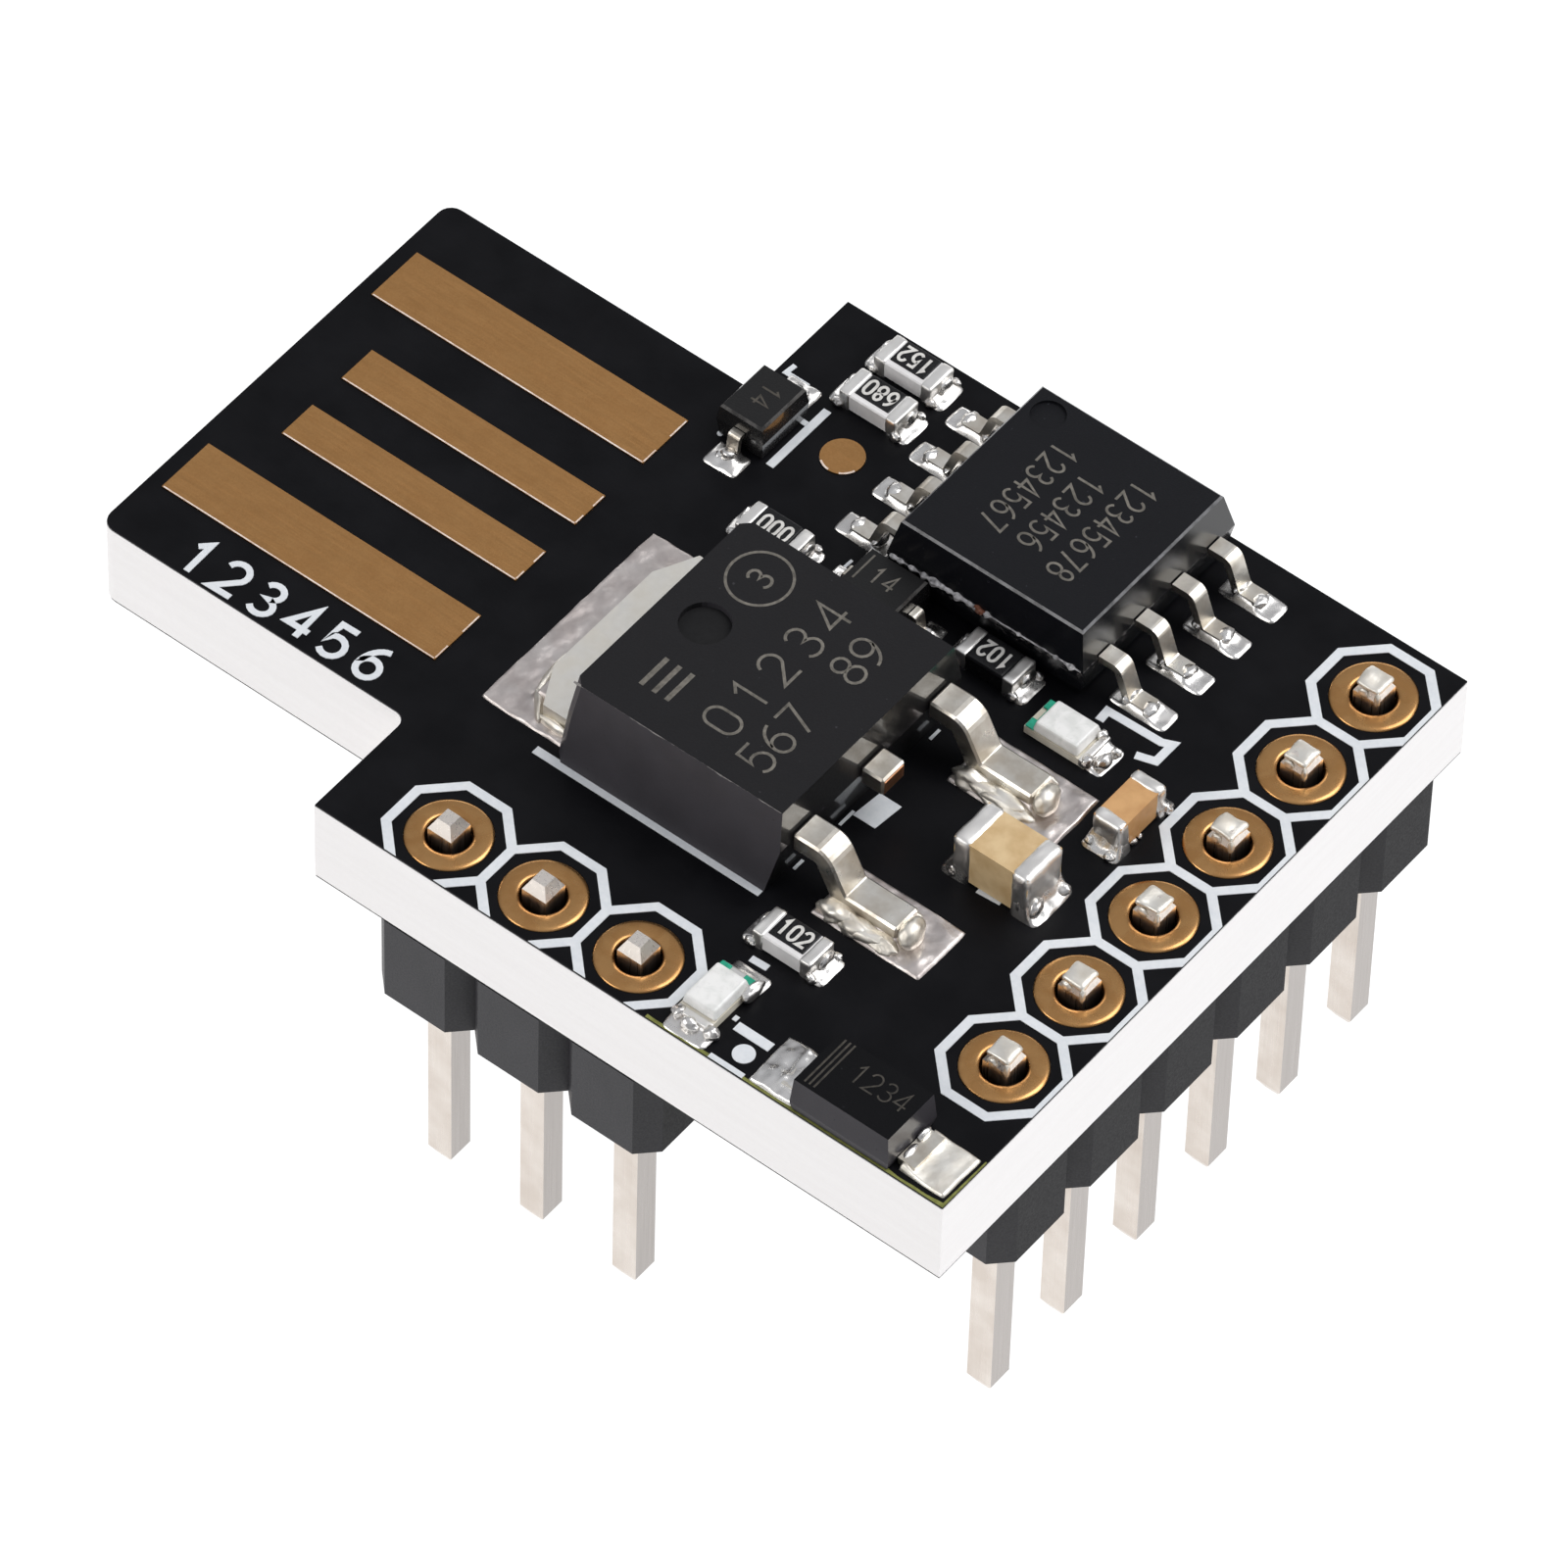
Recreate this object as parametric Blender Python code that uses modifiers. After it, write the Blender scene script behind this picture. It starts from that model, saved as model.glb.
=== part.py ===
"""Small USB microcontroller board with an edge tongue, standing on two pin headers.

The board lies flat with its parts on top. The origin is under the middle of the board, at the
height of the pin tips. +X points from the USB tongue to the six-pin header, +Y runs along that
header, and +Z is up. All named sizes are in millimetres; MM turns them into Blender's metres.
"""

import math

import bmesh
import bpy

MM = 0.001
GAP = 0.01                 # clearance between neighbouring pieces

# Heights, from the pin tips up
PIN_LENGTH = 11.5
PIN_BELOW_HOUSING = 6.0
HOUSING_HEIGHT = 2.5
BOARD_THICKNESS = 2.4
MASK = 0.04                # solder mask, above and below the laminate
BOARD_BOTTOM = PIN_BELOW_HOUSING + HOUSING_HEIGHT
BOARD_TOP = BOARD_BOTTOM + BOARD_THICKNESS

# Board outline
BOARD_LENGTH = 25.13       # from the tip of the tongue to the header edge
BOARD_WIDTH = 18.0
TONGUE_LENGTH = 8.45
TONGUE_WIDTH = 11.7
TONGUE_OFFSET = -0.12      # the tongue sits a little off the board's middle
TIP_RADIUS = 0.35
NOTCH_RADIUS = 0.3

# USB contacts: the two outer ones carry power and are longer, so they meet first
CONTACT_THICKNESS = 0.07
OUTER_CONTACT = {"offset": 3.5, "length": 7.52, "width": 1.55, "setback": 0.40}
INNER_CONTACT = {"offset": 1.0, "length": 6.45, "width": 1.03, "setback": 1.42}
TEST_PAD_PLACE = (-1.47, 5.47)
TEST_PAD_DIAMETER = 1.0

# Pin headers
PITCH = 2.54
PIN_SIZE = 0.64
PIN_TIP_SIZE = 0.34
PIN_TIP_LENGTH = 0.3
HOUSING_DEPTH = 2.3
HOUSING_CHAMFER = 0.45
HOLE_DIAMETER = 1.05
RING_DIAMETER = 1.94
SIX_ROW_PLACE = (11.285, -5.31)
THREE_ROW_PLACE = (-1.415, -7.85)

# Microcontroller, a wide eight-lead package
MCU_PLACE = (3.98, 6.0)
MCU_LEAD_PITCH = 1.27
MCU_HALF_SPAN = 3.95
MCU_LEAD_WIDTH = 0.42
MCU_LEAD_THICKNESS = 0.2
MCU_LEAD_EXIT = 0.95       # height of the leads where they leave the body
MCU_PARTING = (5.25, 5.28)

# Voltage regulator with a soldered metal tab
REGULATOR_PLACE = (-2.36, -1.57)      # end of the tab, on the package's middle line
REGULATOR_LEAD_SPACING = 2.285
REGULATOR_LEAD_WIDTH = 0.76
REGULATOR_METAL = 0.5                 # thickness of the tab and leads
REGULATOR_LENGTH = 9.96               # end of the tab to the lead tips

# Chip parts: centre on the board, long axis, length, width and height
RESISTOR_SIZE = (1.5, 0.8, 0.48)
RESISTORS = {
    "resistor_back_upper": (-1.69, 8.20),
    "resistor_back_lower": (-1.69, 6.98),
    "resistor_behind_regulator": (-1.10, 2.67),
    "resistor_beside_mcu": (4.65, 2.90),
    "resistor_front": (6.03, -5.69),
}
CAPACITORS = {
    "capacitor_large": {"place": (8.31, -1.40), "along": "x", "size": (2.0, 1.25, 1.3), "cap": 0.48},
    "capacitor_small": {"place": (9.37, 1.38), "along": "y", "size": (1.6, 0.8, 0.85), "cap": 0.34},
}
LED_SIZE = (1.6, 0.9, 0.22)
LED_LENS_LENGTH = 1.2
LED_LENS_HEIGHT = 0.28
LEDS = {
    "led_power": {"place": (5.63, -7.74), "along": "y"},
    "led_signal": {"place": (6.96, 2.40), "along": "x"},
}
ZENERS = {
    "zener_tongue": {"place": (-3.33, 5.05), "along": "y"},
    "zener_middle": {"place": (1.80, 2.68), "along": "x"},
}
SCHOTTKY_PLACE = (9.835, -8.17)


# ---------------------------------------------------------------- setting up

def clear_scene():
    """Remove whatever the open file holds."""
    for item in list(bpy.data.objects):
        bpy.data.objects.remove(item, do_unlink=True)


def new_collection(name):
    """Return an empty collection linked to the scene."""
    collection = bpy.data.collections.new(name)
    bpy.context.scene.collection.children.link(collection)
    return collection


def new_material(name, color, roughness, metallic=0.0):
    """Return a plain Principled material."""
    material = bpy.data.materials.new(name)
    material.use_nodes = True
    shader = material.node_tree.nodes["Principled BSDF"]
    shader.inputs["Base Color"].default_value = (*color, 1.0)
    shader.inputs["Roughness"].default_value = roughness
    shader.inputs["Metallic"].default_value = metallic
    return material


def link_object(name, data, material, collection):
    """Make an object from mesh or curve data and put it in a collection."""
    item = bpy.data.objects.new(name, data)
    data.materials.append(material)
    collection.objects.link(item)
    return item


def turn_and_place(item, place, height, along):
    """Put an object on the board with its own X axis along the board's X or Y."""
    item.location = (place[0] * MM, place[1] * MM, height * MM)
    if along == "y":
        item.rotation_euler = (0.0, 0.0, math.pi / 2)
    return item


# ---------------------------------------------------------------- outlines

def corner_arc(before, corner, after, radius, steps=5):
    """Points of the arc that rounds one corner of an outline or a path."""
    if radius == 0:
        return [corner]
    to_before = (before[0] - corner[0], before[1] - corner[1])
    to_after = (after[0] - corner[0], after[1] - corner[1])
    length_before = math.hypot(*to_before)
    length_after = math.hypot(*to_after)
    unit_before = (to_before[0] / length_before, to_before[1] / length_before)
    unit_after = (to_after[0] / length_after, to_after[1] / length_after)
    cosine = unit_before[0] * unit_after[0] + unit_before[1] * unit_after[1]
    half_angle = math.acos(max(-1.0, min(1.0, cosine))) / 2
    bisector = (unit_before[0] + unit_after[0], unit_before[1] + unit_after[1])
    bisector_length = math.hypot(*bisector)
    reach = radius / math.sin(half_angle)
    centre = (
        corner[0] + bisector[0] / bisector_length * reach,
        corner[1] + bisector[1] / bisector_length * reach,
    )
    setback = radius / math.tan(half_angle)
    start = (corner[0] + unit_before[0] * setback, corner[1] + unit_before[1] * setback)
    end = (corner[0] + unit_after[0] * setback, corner[1] + unit_after[1] * setback)
    angle = math.atan2(start[1] - centre[1], start[0] - centre[0])
    turn = math.atan2(end[1] - centre[1], end[0] - centre[0]) - angle
    turn = (turn + math.pi) % (2 * math.pi) - math.pi
    return [
        (
            centre[0] + radius * math.cos(angle + turn * step / steps),
            centre[1] + radius * math.sin(angle + turn * step / steps),
        )
        for step in range(steps + 1)
    ]


def rounded_outline(corners):
    """Closed outline from (x, y, radius) corners."""
    points = []
    for index, (x, y, radius) in enumerate(corners):
        before = corners[index - 1][:2]
        after = corners[(index + 1) % len(corners)][:2]
        points += corner_arc(before, (x, y), after, radius)
    return points


def bent_path(corners, radius):
    """Open path whose inner corners are rounded."""
    points = [corners[0]]
    for before, corner, after in zip(corners, corners[1:], corners[2:]):
        points += corner_arc(before, corner, after, radius)
    return points + [corners[-1]]


def circle(place, diameter, sides=32):
    """Points round a circle."""
    return [
        (
            place[0] + diameter / 2 * math.cos(2 * math.pi * side / sides),
            place[1] + diameter / 2 * math.sin(2 * math.pi * side / sides),
        )
        for side in range(sides)
    ]


def rectangle(place, length, width):
    """Corners of a rectangle about its middle."""
    x, y = place
    return [
        (x - length / 2, y - width / 2),
        (x + length / 2, y - width / 2),
        (x + length / 2, y + width / 2),
        (x - length / 2, y + width / 2),
    ]


def flat_plate(name, outlines, low, high, material, collection):
    """Plate between two heights; the first outline is its edge and the others are holes."""
    curve = bpy.data.curves.new(name, "CURVE")
    curve.dimensions = "2D"
    curve.fill_mode = "BOTH"
    curve.extrude = (high - low) / 2 * MM
    for outline in outlines:
        spline = curve.splines.new("POLY")
        spline.points.add(len(outline) - 1)
        for point, (x, y) in zip(spline.points, outline):
            point.co = (x * MM, y * MM, 0.0, 1.0)
        spline.use_cyclic_u = True
    plate = link_object(name, curve, material, collection)
    plate.location.z = (low + high) / 2 * MM
    return plate


# ---------------------------------------------------------------- solid blocks

def stacked_block(name, levels, material, collection):
    """Block whose rectangular section changes with height.

    Each level is (height, x_low, x_high, half_width), from the bottom up.
    """
    mesh = bmesh.new()
    bmesh.ops.create_cube(mesh, size=1.0)
    heights = [level[0] * MM for level in levels]
    for vertex in mesh.verts:
        vertex.co.z = heights[0] if vertex.co.z < 0 else heights[-1]
    for height in heights[1:-1]:
        everything = mesh.verts[:] + mesh.edges[:] + mesh.faces[:]
        bmesh.ops.bisect_plane(mesh, geom=everything, plane_co=(0, 0, height), plane_no=(0, 0, 1))
    for vertex in mesh.verts:
        level = min(levels, key=lambda entry: abs(entry[0] * MM - vertex.co.z))
        _, x_low, x_high, half_width = level
        vertex.co.x = (x_low if vertex.co.x < 0 else x_high) * MM
        vertex.co.y = (-half_width if vertex.co.y < 0 else half_width) * MM
    return finish_mesh(name, mesh, material, collection)


def centred_levels(levels):
    """Turn (height, length, width) into the levels that stacked_block takes."""
    return [(height, -length / 2, length / 2, width / 2) for height, length, width in levels]


def finish_mesh(name, mesh, material, collection):
    """Store a bmesh as a new object."""
    bmesh.ops.recalc_face_normals(mesh, faces=mesh.faces[:])
    data = bpy.data.meshes.new(name)
    mesh.to_mesh(data)
    mesh.free()
    return link_object(name, data, material, collection)


def soften_edges(item, width, segments=2):
    """Round an object's edges a little."""
    bevel = item.modifiers.new("rounded_edges", "BEVEL")
    bevel.width = width * MM
    bevel.segments = segments
    bevel.limit_method = "ANGLE"
    bevel.angle_limit = math.radians(30)


def cut_away(item, cutter):
    """Take one object's shape out of another."""
    cutter.hide_render = True
    cutter.display_type = "WIRE"
    boolean = item.modifiers.new("cut_" + cutter.name, "BOOLEAN")
    boolean.operation = "DIFFERENCE"
    boolean.solver = "EXACT"
    boolean.object = cutter


def dimple_cutter(name, place, diameter, low, high, material, collection):
    """Short cylinder that cuts a round dimple."""
    mesh = bmesh.new()
    bmesh.ops.create_cone(
        mesh,
        cap_ends=True,
        segments=32,
        radius1=diameter / 2 * MM,
        radius2=diameter / 2 * MM,
        depth=(high - low) * MM,
    )
    cutter = finish_mesh(name, mesh, material, collection)
    cutter.location = (place[0] * MM, place[1] * MM, (low + high) / 2 * MM)
    return cutter


def bent_lead(name, corners, radius, width, thickness, material, collection):
    """Flat metal lead that follows a bent path in its own X and Z."""
    path = bent_path(corners, radius)
    mesh = bmesh.new()
    near = [mesh.verts.new((x * MM, -width / 2 * MM, z * MM)) for x, z in path]
    far = [mesh.verts.new((x * MM, width / 2 * MM, z * MM)) for x, z in path]
    for index in range(len(path) - 1):
        mesh.faces.new((near[index], near[index + 1], far[index + 1], far[index]))
    data = bpy.data.meshes.new(name)
    mesh.to_mesh(data)
    mesh.free()
    lead = link_object(name, data, material, collection)
    thicken = lead.modifiers.new("metal_thickness", "SOLIDIFY")
    thicken.thickness = thickness * MM
    thicken.offset = 0.0
    thicken.use_even_offset = True
    return lead


# ---------------------------------------------------------------- board and contacts

def board_outline(inset=0.0):
    """Edge of the board, tongue included."""
    tip = -BOARD_LENGTH / 2 + inset
    shoulder = -BOARD_LENGTH / 2 + TONGUE_LENGTH + inset
    header_edge = BOARD_LENGTH / 2 - inset
    side = BOARD_WIDTH / 2 - inset
    tongue_low = TONGUE_OFFSET - TONGUE_WIDTH / 2 + inset
    tongue_high = TONGUE_OFFSET + TONGUE_WIDTH / 2 - inset
    return rounded_outline([
        (tip, tongue_low, TIP_RADIUS),
        (shoulder, tongue_low, NOTCH_RADIUS),
        (shoulder, -side, 0),
        (header_edge, -side, 0),
        (header_edge, side, 0),
        (shoulder, side, 0),
        (shoulder, tongue_high, NOTCH_RADIUS),
        (tip, tongue_high, TIP_RADIUS),
    ])


def pin_places():
    """Name and place of every header pin."""
    places = {}
    for index in range(3):
        places[f"pin_three_row_{index + 1}"] = (THREE_ROW_PLACE[0] + index * PITCH, THREE_ROW_PLACE[1])
    for index in range(6):
        places[f"pin_six_row_{index + 1}"] = (SIX_ROW_PLACE[0], SIX_ROW_PLACE[1] + index * PITCH)
    return places


def contact_layout():
    """Name, middle, length and width of the four USB contacts."""
    layout = []
    order = [(OUTER_CONTACT, 1), (INNER_CONTACT, 1), (INNER_CONTACT, -1), (OUTER_CONTACT, -1)]
    for number, (contact, side) in enumerate(order, start=1):
        middle = (
            -BOARD_LENGTH / 2 + contact["setback"] + contact["length"] / 2,
            TONGUE_OFFSET + side * contact["offset"],
        )
        layout.append((f"usb_contact_{number}", middle, contact["length"], contact["width"]))
    return layout


def build_board(materials, parts):
    """Laminate, the two solder-mask skins, the USB contacts and the test pad."""
    holes = [circle(place, HOLE_DIAMETER) for place in pin_places().values()]
    flat_plate(
        "board_laminate",
        [board_outline()] + holes,
        BOARD_BOTTOM + MASK + GAP,
        BOARD_TOP - MASK - GAP,
        materials["laminate"],
        parts,
    )
    rings = [circle(place, RING_DIAMETER) for place in pin_places().values()]
    windows = [
        rectangle(middle, length + 2 * GAP, width + 2 * GAP)
        for _, middle, length, width in contact_layout()
    ]
    pad_window = circle(TEST_PAD_PLACE, TEST_PAD_DIAMETER + 2 * GAP)
    flat_plate(
        "solder_mask_top",
        [board_outline(GAP)] + rings + windows + [pad_window],
        BOARD_TOP - MASK,
        BOARD_TOP,
        materials["solder_mask"],
        parts,
    )
    flat_plate(
        "solder_mask_bottom",
        [board_outline(GAP)] + rings,
        BOARD_BOTTOM,
        BOARD_BOTTOM + MASK,
        materials["solder_mask"],
        parts,
    )
    contact_low = BOARD_TOP - MASK
    contact_high = contact_low + CONTACT_THICKNESS
    for name, middle, length, width in contact_layout():
        outline = rectangle(middle, length, width)
        flat_plate(name, [outline], contact_low, contact_high, materials["gold"], parts)
    pad = circle(TEST_PAD_PLACE, TEST_PAD_DIAMETER)
    flat_plate("test_pad", [pad], contact_low, contact_high, materials["gold"], parts)


# ---------------------------------------------------------------- headers

def housing_outline(cells):
    """Edge of a header housing: one chamfered cell for each pin, from the first pin at zero."""
    half = HOUSING_DEPTH / 2
    cut = HOUSING_CHAMFER
    front = []
    back = []
    for cell in range(cells):
        low = (cell - 0.5) * PITCH
        high = (cell + 0.5) * PITCH
        front += [(low, -half + cut), (low + cut, -half), (high - cut, -half)]
        back += [(high, half - cut), (high - cut, half), (low + cut, half)]
    end = (cells - 0.5) * PITCH
    start = -0.5 * PITCH
    back_by_cell = [back[3 * cell:3 * cell + 3] for cell in reversed(range(cells))]
    return front + [(end, -half + cut)] + sum(back_by_cell, []) + [(start, half - cut)]


def build_headers(materials, parts):
    """Two moulded strips under the board and the nine square pins through them."""
    rows = [
        ("header_housing_three", 3, THREE_ROW_PLACE, "x"),
        ("header_housing_six", 6, SIX_ROW_PLACE, "y"),
    ]
    for name, cells, place, along in rows:
        pin_slots = [
            rectangle((cell * PITCH, 0), PIN_SIZE + 2 * GAP, PIN_SIZE + 2 * GAP)
            for cell in range(cells)
        ]
        housing = flat_plate(
            name,
            [housing_outline(cells)] + pin_slots,
            PIN_BELOW_HOUSING,
            BOARD_BOTTOM - GAP,
            materials["header_plastic"],
            parts,
        )
        turn_and_place(housing, place, PIN_BELOW_HOUSING + (HOUSING_HEIGHT - GAP) / 2, along)
    levels = centred_levels([
        (0, PIN_TIP_SIZE, PIN_TIP_SIZE),
        (PIN_TIP_LENGTH, PIN_SIZE, PIN_SIZE),
        (PIN_LENGTH - PIN_TIP_LENGTH, PIN_SIZE, PIN_SIZE),
        (PIN_LENGTH, PIN_TIP_SIZE, PIN_TIP_SIZE),
    ])
    for name, place in pin_places().items():
        pin = stacked_block(name, levels, materials["pin_metal"], parts)
        turn_and_place(pin, place, 0, "x")


# ---------------------------------------------------------------- microcontroller

def build_microcontroller(materials, parts, cutters):
    """Moulded body with a pin-one dimple, and four gull-wing leads on each side."""
    length, width = MCU_PARTING
    body = stacked_block(
        "mcu_body",
        centred_levels([
            (0.10, length - 0.28, width - 0.28),
            (MCU_LEAD_EXIT, length, width),
            (1.90, length - 0.40, width - 0.40),
            (1.95, length - 0.50, width - 0.50),
        ]),
        materials["black_epoxy"],
        parts,
    )
    turn_and_place(body, MCU_PLACE, BOARD_TOP, "x")
    dimple_place = (MCU_PLACE[0] - 1.82, MCU_PLACE[1] + 1.85)
    dimple = dimple_cutter(
        "mcu_dimple", dimple_place, 0.8, BOARD_TOP + 1.88, BOARD_TOP + 2.2, materials["black_epoxy"], cutters
    )
    cut_away(body, dimple)
    body_side = length / 2
    foot_height = MCU_LEAD_THICKNESS / 2 + GAP
    path = [
        (body_side + GAP, MCU_LEAD_EXIT),
        (body_side + 0.50, MCU_LEAD_EXIT),
        (body_side + 0.80, foot_height),
        (MCU_HALF_SPAN, foot_height),
    ]
    for number in range(1, 9):
        lead = bent_lead(
            f"mcu_lead_{number}",
            path,
            0.16,
            MCU_LEAD_WIDTH,
            MCU_LEAD_THICKNESS,
            materials["tinned_metal"],
            parts,
        )
        on_left = number <= 4
        row = (2.5 - number if on_left else number - 6.5) * MCU_LEAD_PITCH
        lead.location = (MCU_PLACE[0] * MM, (MCU_PLACE[1] + row) * MM, BOARD_TOP * MM)
        if on_left:
            lead.rotation_euler.z = math.pi


# ---------------------------------------------------------------- voltage regulator

def tab_outline(grow=0.0):
    """Plan of the metal tab, from its soldered end to the part inside the body."""
    half = 2.63 + grow
    chamfer_half = 1.65 + grow
    return [
        (-grow, -chamfer_half),
        (0.50 - grow, -half),
        (5.60 + grow, -half),
        (5.60 + grow, half),
        (0.50 - grow, half),
        (-grow, chamfer_half),
    ]


def build_regulator(materials, parts, cutters):
    """Moulded body over a metal tab, with two long leads and a cropped middle one."""
    tab_low = GAP
    tab_high = tab_low + REGULATOR_METAL
    tab = flat_plate("regulator_tab", [tab_outline()], tab_low, tab_high, materials["tinned_metal"], parts)
    turn_and_place(tab, REGULATOR_PLACE, BOARD_TOP + (tab_low + tab_high) / 2, "x")

    parting = 1.25
    lead_face = 7.18
    body = stacked_block(
        "regulator_body",
        [
            (GAP, 1.30, 6.96, 3.30),
            (parting, 1.38, lead_face, 3.07),
            (2.30, 1.51, 7.08, 2.88),
        ],
        materials["black_epoxy"],
        parts,
    )
    turn_and_place(body, REGULATOR_PLACE, BOARD_TOP, "x")
    chamfer_tab_side(body, 0.30)
    pocket = flat_plate(
        "tab_pocket_outline", [tab_outline(GAP)], -0.3, tab_high + GAP, materials["black_epoxy"], cutters
    )
    turn_and_place(pocket, REGULATOR_PLACE, BOARD_TOP + (tab_high + GAP - 0.3) / 2, "x")
    cut_away(body, curve_to_mesh(pocket, "tab_pocket", cutters))
    mark_place = (REGULATOR_PLACE[0] + 2.65, REGULATOR_PLACE[1] + 0.085)
    mark = dimple_cutter(
        "ejector_mark", mark_place, 1.15, BOARD_TOP + 2.15, BOARD_TOP + 2.6, materials["black_epoxy"], cutters
    )
    cut_away(body, mark)

    foot_height = REGULATOR_METAL / 2 + GAP
    long_path = [
        (lead_face + GAP, parting),
        (lead_face + 0.77, parting),
        (lead_face + 1.27, foot_height),
        (REGULATOR_LENGTH, foot_height),
    ]
    stub_path = [(lead_face + GAP, parting), (lead_face + 0.60, parting)]
    leads = [
        ("regulator_lead_input", long_path, -REGULATOR_LEAD_SPACING),
        ("regulator_lead_middle_stub", stub_path, 0.0),
        ("regulator_lead_output", long_path, REGULATOR_LEAD_SPACING),
    ]
    for name, path, offset in leads:
        lead = bent_lead(
            name, path, 0.3, REGULATOR_LEAD_WIDTH, REGULATOR_METAL, materials["tinned_metal"], parts
        )
        place = (REGULATOR_PLACE[0], REGULATOR_PLACE[1] + offset)
        turn_and_place(lead, place, BOARD_TOP, "x")
        soften_edges(lead, 0.05, 1)


def chamfer_tab_side(body, width):
    """Cut the two upright edges of the body on the tab's side."""
    mesh = bmesh.new()
    mesh.from_mesh(body.data)
    middle = sum(vertex.co.x for vertex in mesh.verts) / len(mesh.verts)
    upright = [
        edge for edge in mesh.edges
        if abs(edge.verts[0].co.z - edge.verts[1].co.z) > 0.5 * MM
        and max(vertex.co.x for vertex in edge.verts) < middle
    ]
    bmesh.ops.bevel(
        mesh, geom=upright, offset=width * MM, offset_type="WIDTH", segments=1, profile=0.5, affect="EDGES"
    )
    mesh.to_mesh(body.data)
    mesh.free()


def curve_to_mesh(source, name, collection):
    """Replace a filled curve by a welded mesh object."""
    bpy.context.view_layer.update()
    evaluated = source.evaluated_get(bpy.context.evaluated_depsgraph_get())
    data = bpy.data.meshes.new_from_object(evaluated)
    mesh = bmesh.new()
    mesh.from_mesh(data)
    bmesh.ops.remove_doubles(mesh, verts=mesh.verts[:], dist=1e-6)
    mesh.to_mesh(data)
    mesh.free()
    item = bpy.data.objects.new(name, data)
    item.matrix_world = source.matrix_world
    collection.objects.link(item)
    bpy.data.objects.remove(source, do_unlink=True)
    return item


# ---------------------------------------------------------------- diodes

def build_zener(name, placing, materials, parts):
    """Small moulded diode with one gull-wing lead at each end."""
    half_body = 0.80
    exit_height = 0.56
    foot_height = 0.07
    body = stacked_block(
        name + "_body",
        centred_levels([
            (0.06, 1.50, 1.16),
            (exit_height, 2 * half_body, 1.27),
            (0.93, 1.51, 1.15),
            (1.00, 1.42, 1.05),
        ]),
        materials["black_epoxy"],
        parts,
    )
    turn_and_place(body, placing["place"], BOARD_TOP, placing["along"])
    path = [
        (half_body + GAP, exit_height),
        (half_body + 0.15, exit_height),
        (half_body + 0.22, foot_height),
        (1.27, foot_height),
    ]
    for end, turn in (("anode", 0.0), ("cathode", math.pi)):
        lead = bent_lead(f"{name}_lead_{end}", path, 0.06, 0.30, 0.12, materials["tinned_metal"], parts)
        turn_and_place(lead, placing["place"], BOARD_TOP, placing["along"])
        lead.rotation_euler.z += turn


def build_schottky(materials, parts):
    """Flat power diode with a flush terminal at each end."""
    body = stacked_block(
        "schottky_body",
        centred_levels([(0.03, 2.48, 1.56), (0.25, 2.58, 1.62), (1.00, 2.46, 1.52)]),
        materials["black_epoxy"],
        parts,
    )
    turn_and_place(body, SCHOTTKY_PLACE, BOARD_TOP, "x")
    for end, side in (("cathode", -1), ("anode", 1)):
        inner = 1.29 + GAP
        outer = 1.75
        x_low, x_high = sorted((side * inner, side * outer))
        terminal = stacked_block(
            f"schottky_terminal_{end}",
            [(GAP, x_low, x_high, 0.5), (0.21, x_low, x_high, 0.5)],
            materials["tinned_metal"],
            parts,
        )
        turn_and_place(terminal, SCHOTTKY_PLACE, BOARD_TOP, "x")


# ---------------------------------------------------------------- chip parts

def build_resistors(materials, parts):
    """Plain chip resistors, long axis along X."""
    length, width, height = RESISTOR_SIZE
    levels = centred_levels([(GAP, length, width), (height, length, width)])
    for name, place in RESISTORS.items():
        resistor = stacked_block(name, levels, materials["alumina"], parts)
        turn_and_place(resistor, place, BOARD_TOP, "x")
        soften_edges(resistor, 0.03, 1)


def build_capacitors(materials, parts, cutters):
    """Ceramic blocks whose ends sit in metal caps."""
    wall = 0.03
    for name, capacitor in CAPACITORS.items():
        length, width, height = capacitor["size"]
        cap = capacitor["cap"]
        inner_half = length / 2 - wall - GAP
        core_width = width - 2 * (wall + GAP)
        core_low = 2 * GAP + wall
        core_high = height - wall - GAP
        core = stacked_block(
            name + "_ceramic",
            [
                (core_low, -inner_half, inner_half, core_width / 2),
                (core_high, -inner_half, inner_half, core_width / 2),
            ],
            materials["capacitor_ceramic"],
            parts,
        )
        turn_and_place(core, capacitor["place"], BOARD_TOP, capacitor["along"])
        hollow = stacked_block(
            name + "_hollow",
            [
                (core_low - GAP, -inner_half - GAP, inner_half + GAP, core_width / 2 + GAP),
                (core_high + GAP, -inner_half - GAP, inner_half + GAP, core_width / 2 + GAP),
            ],
            materials["capacitor_ceramic"],
            cutters,
        )
        turn_and_place(hollow, capacitor["place"], BOARD_TOP, capacitor["along"])
        for end, side in (("start", -1), ("end", 1)):
            x_low, x_high = sorted((side * (length / 2 - cap), side * length / 2))
            terminal = stacked_block(
                f"{name}_cap_{end}",
                [(GAP, x_low, x_high, width / 2), (height, x_low, x_high, width / 2)],
                materials["tinned_metal"],
                parts,
            )
            turn_and_place(terminal, capacitor["place"], BOARD_TOP, capacitor["along"])
            cut_away(terminal, hollow)


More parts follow.
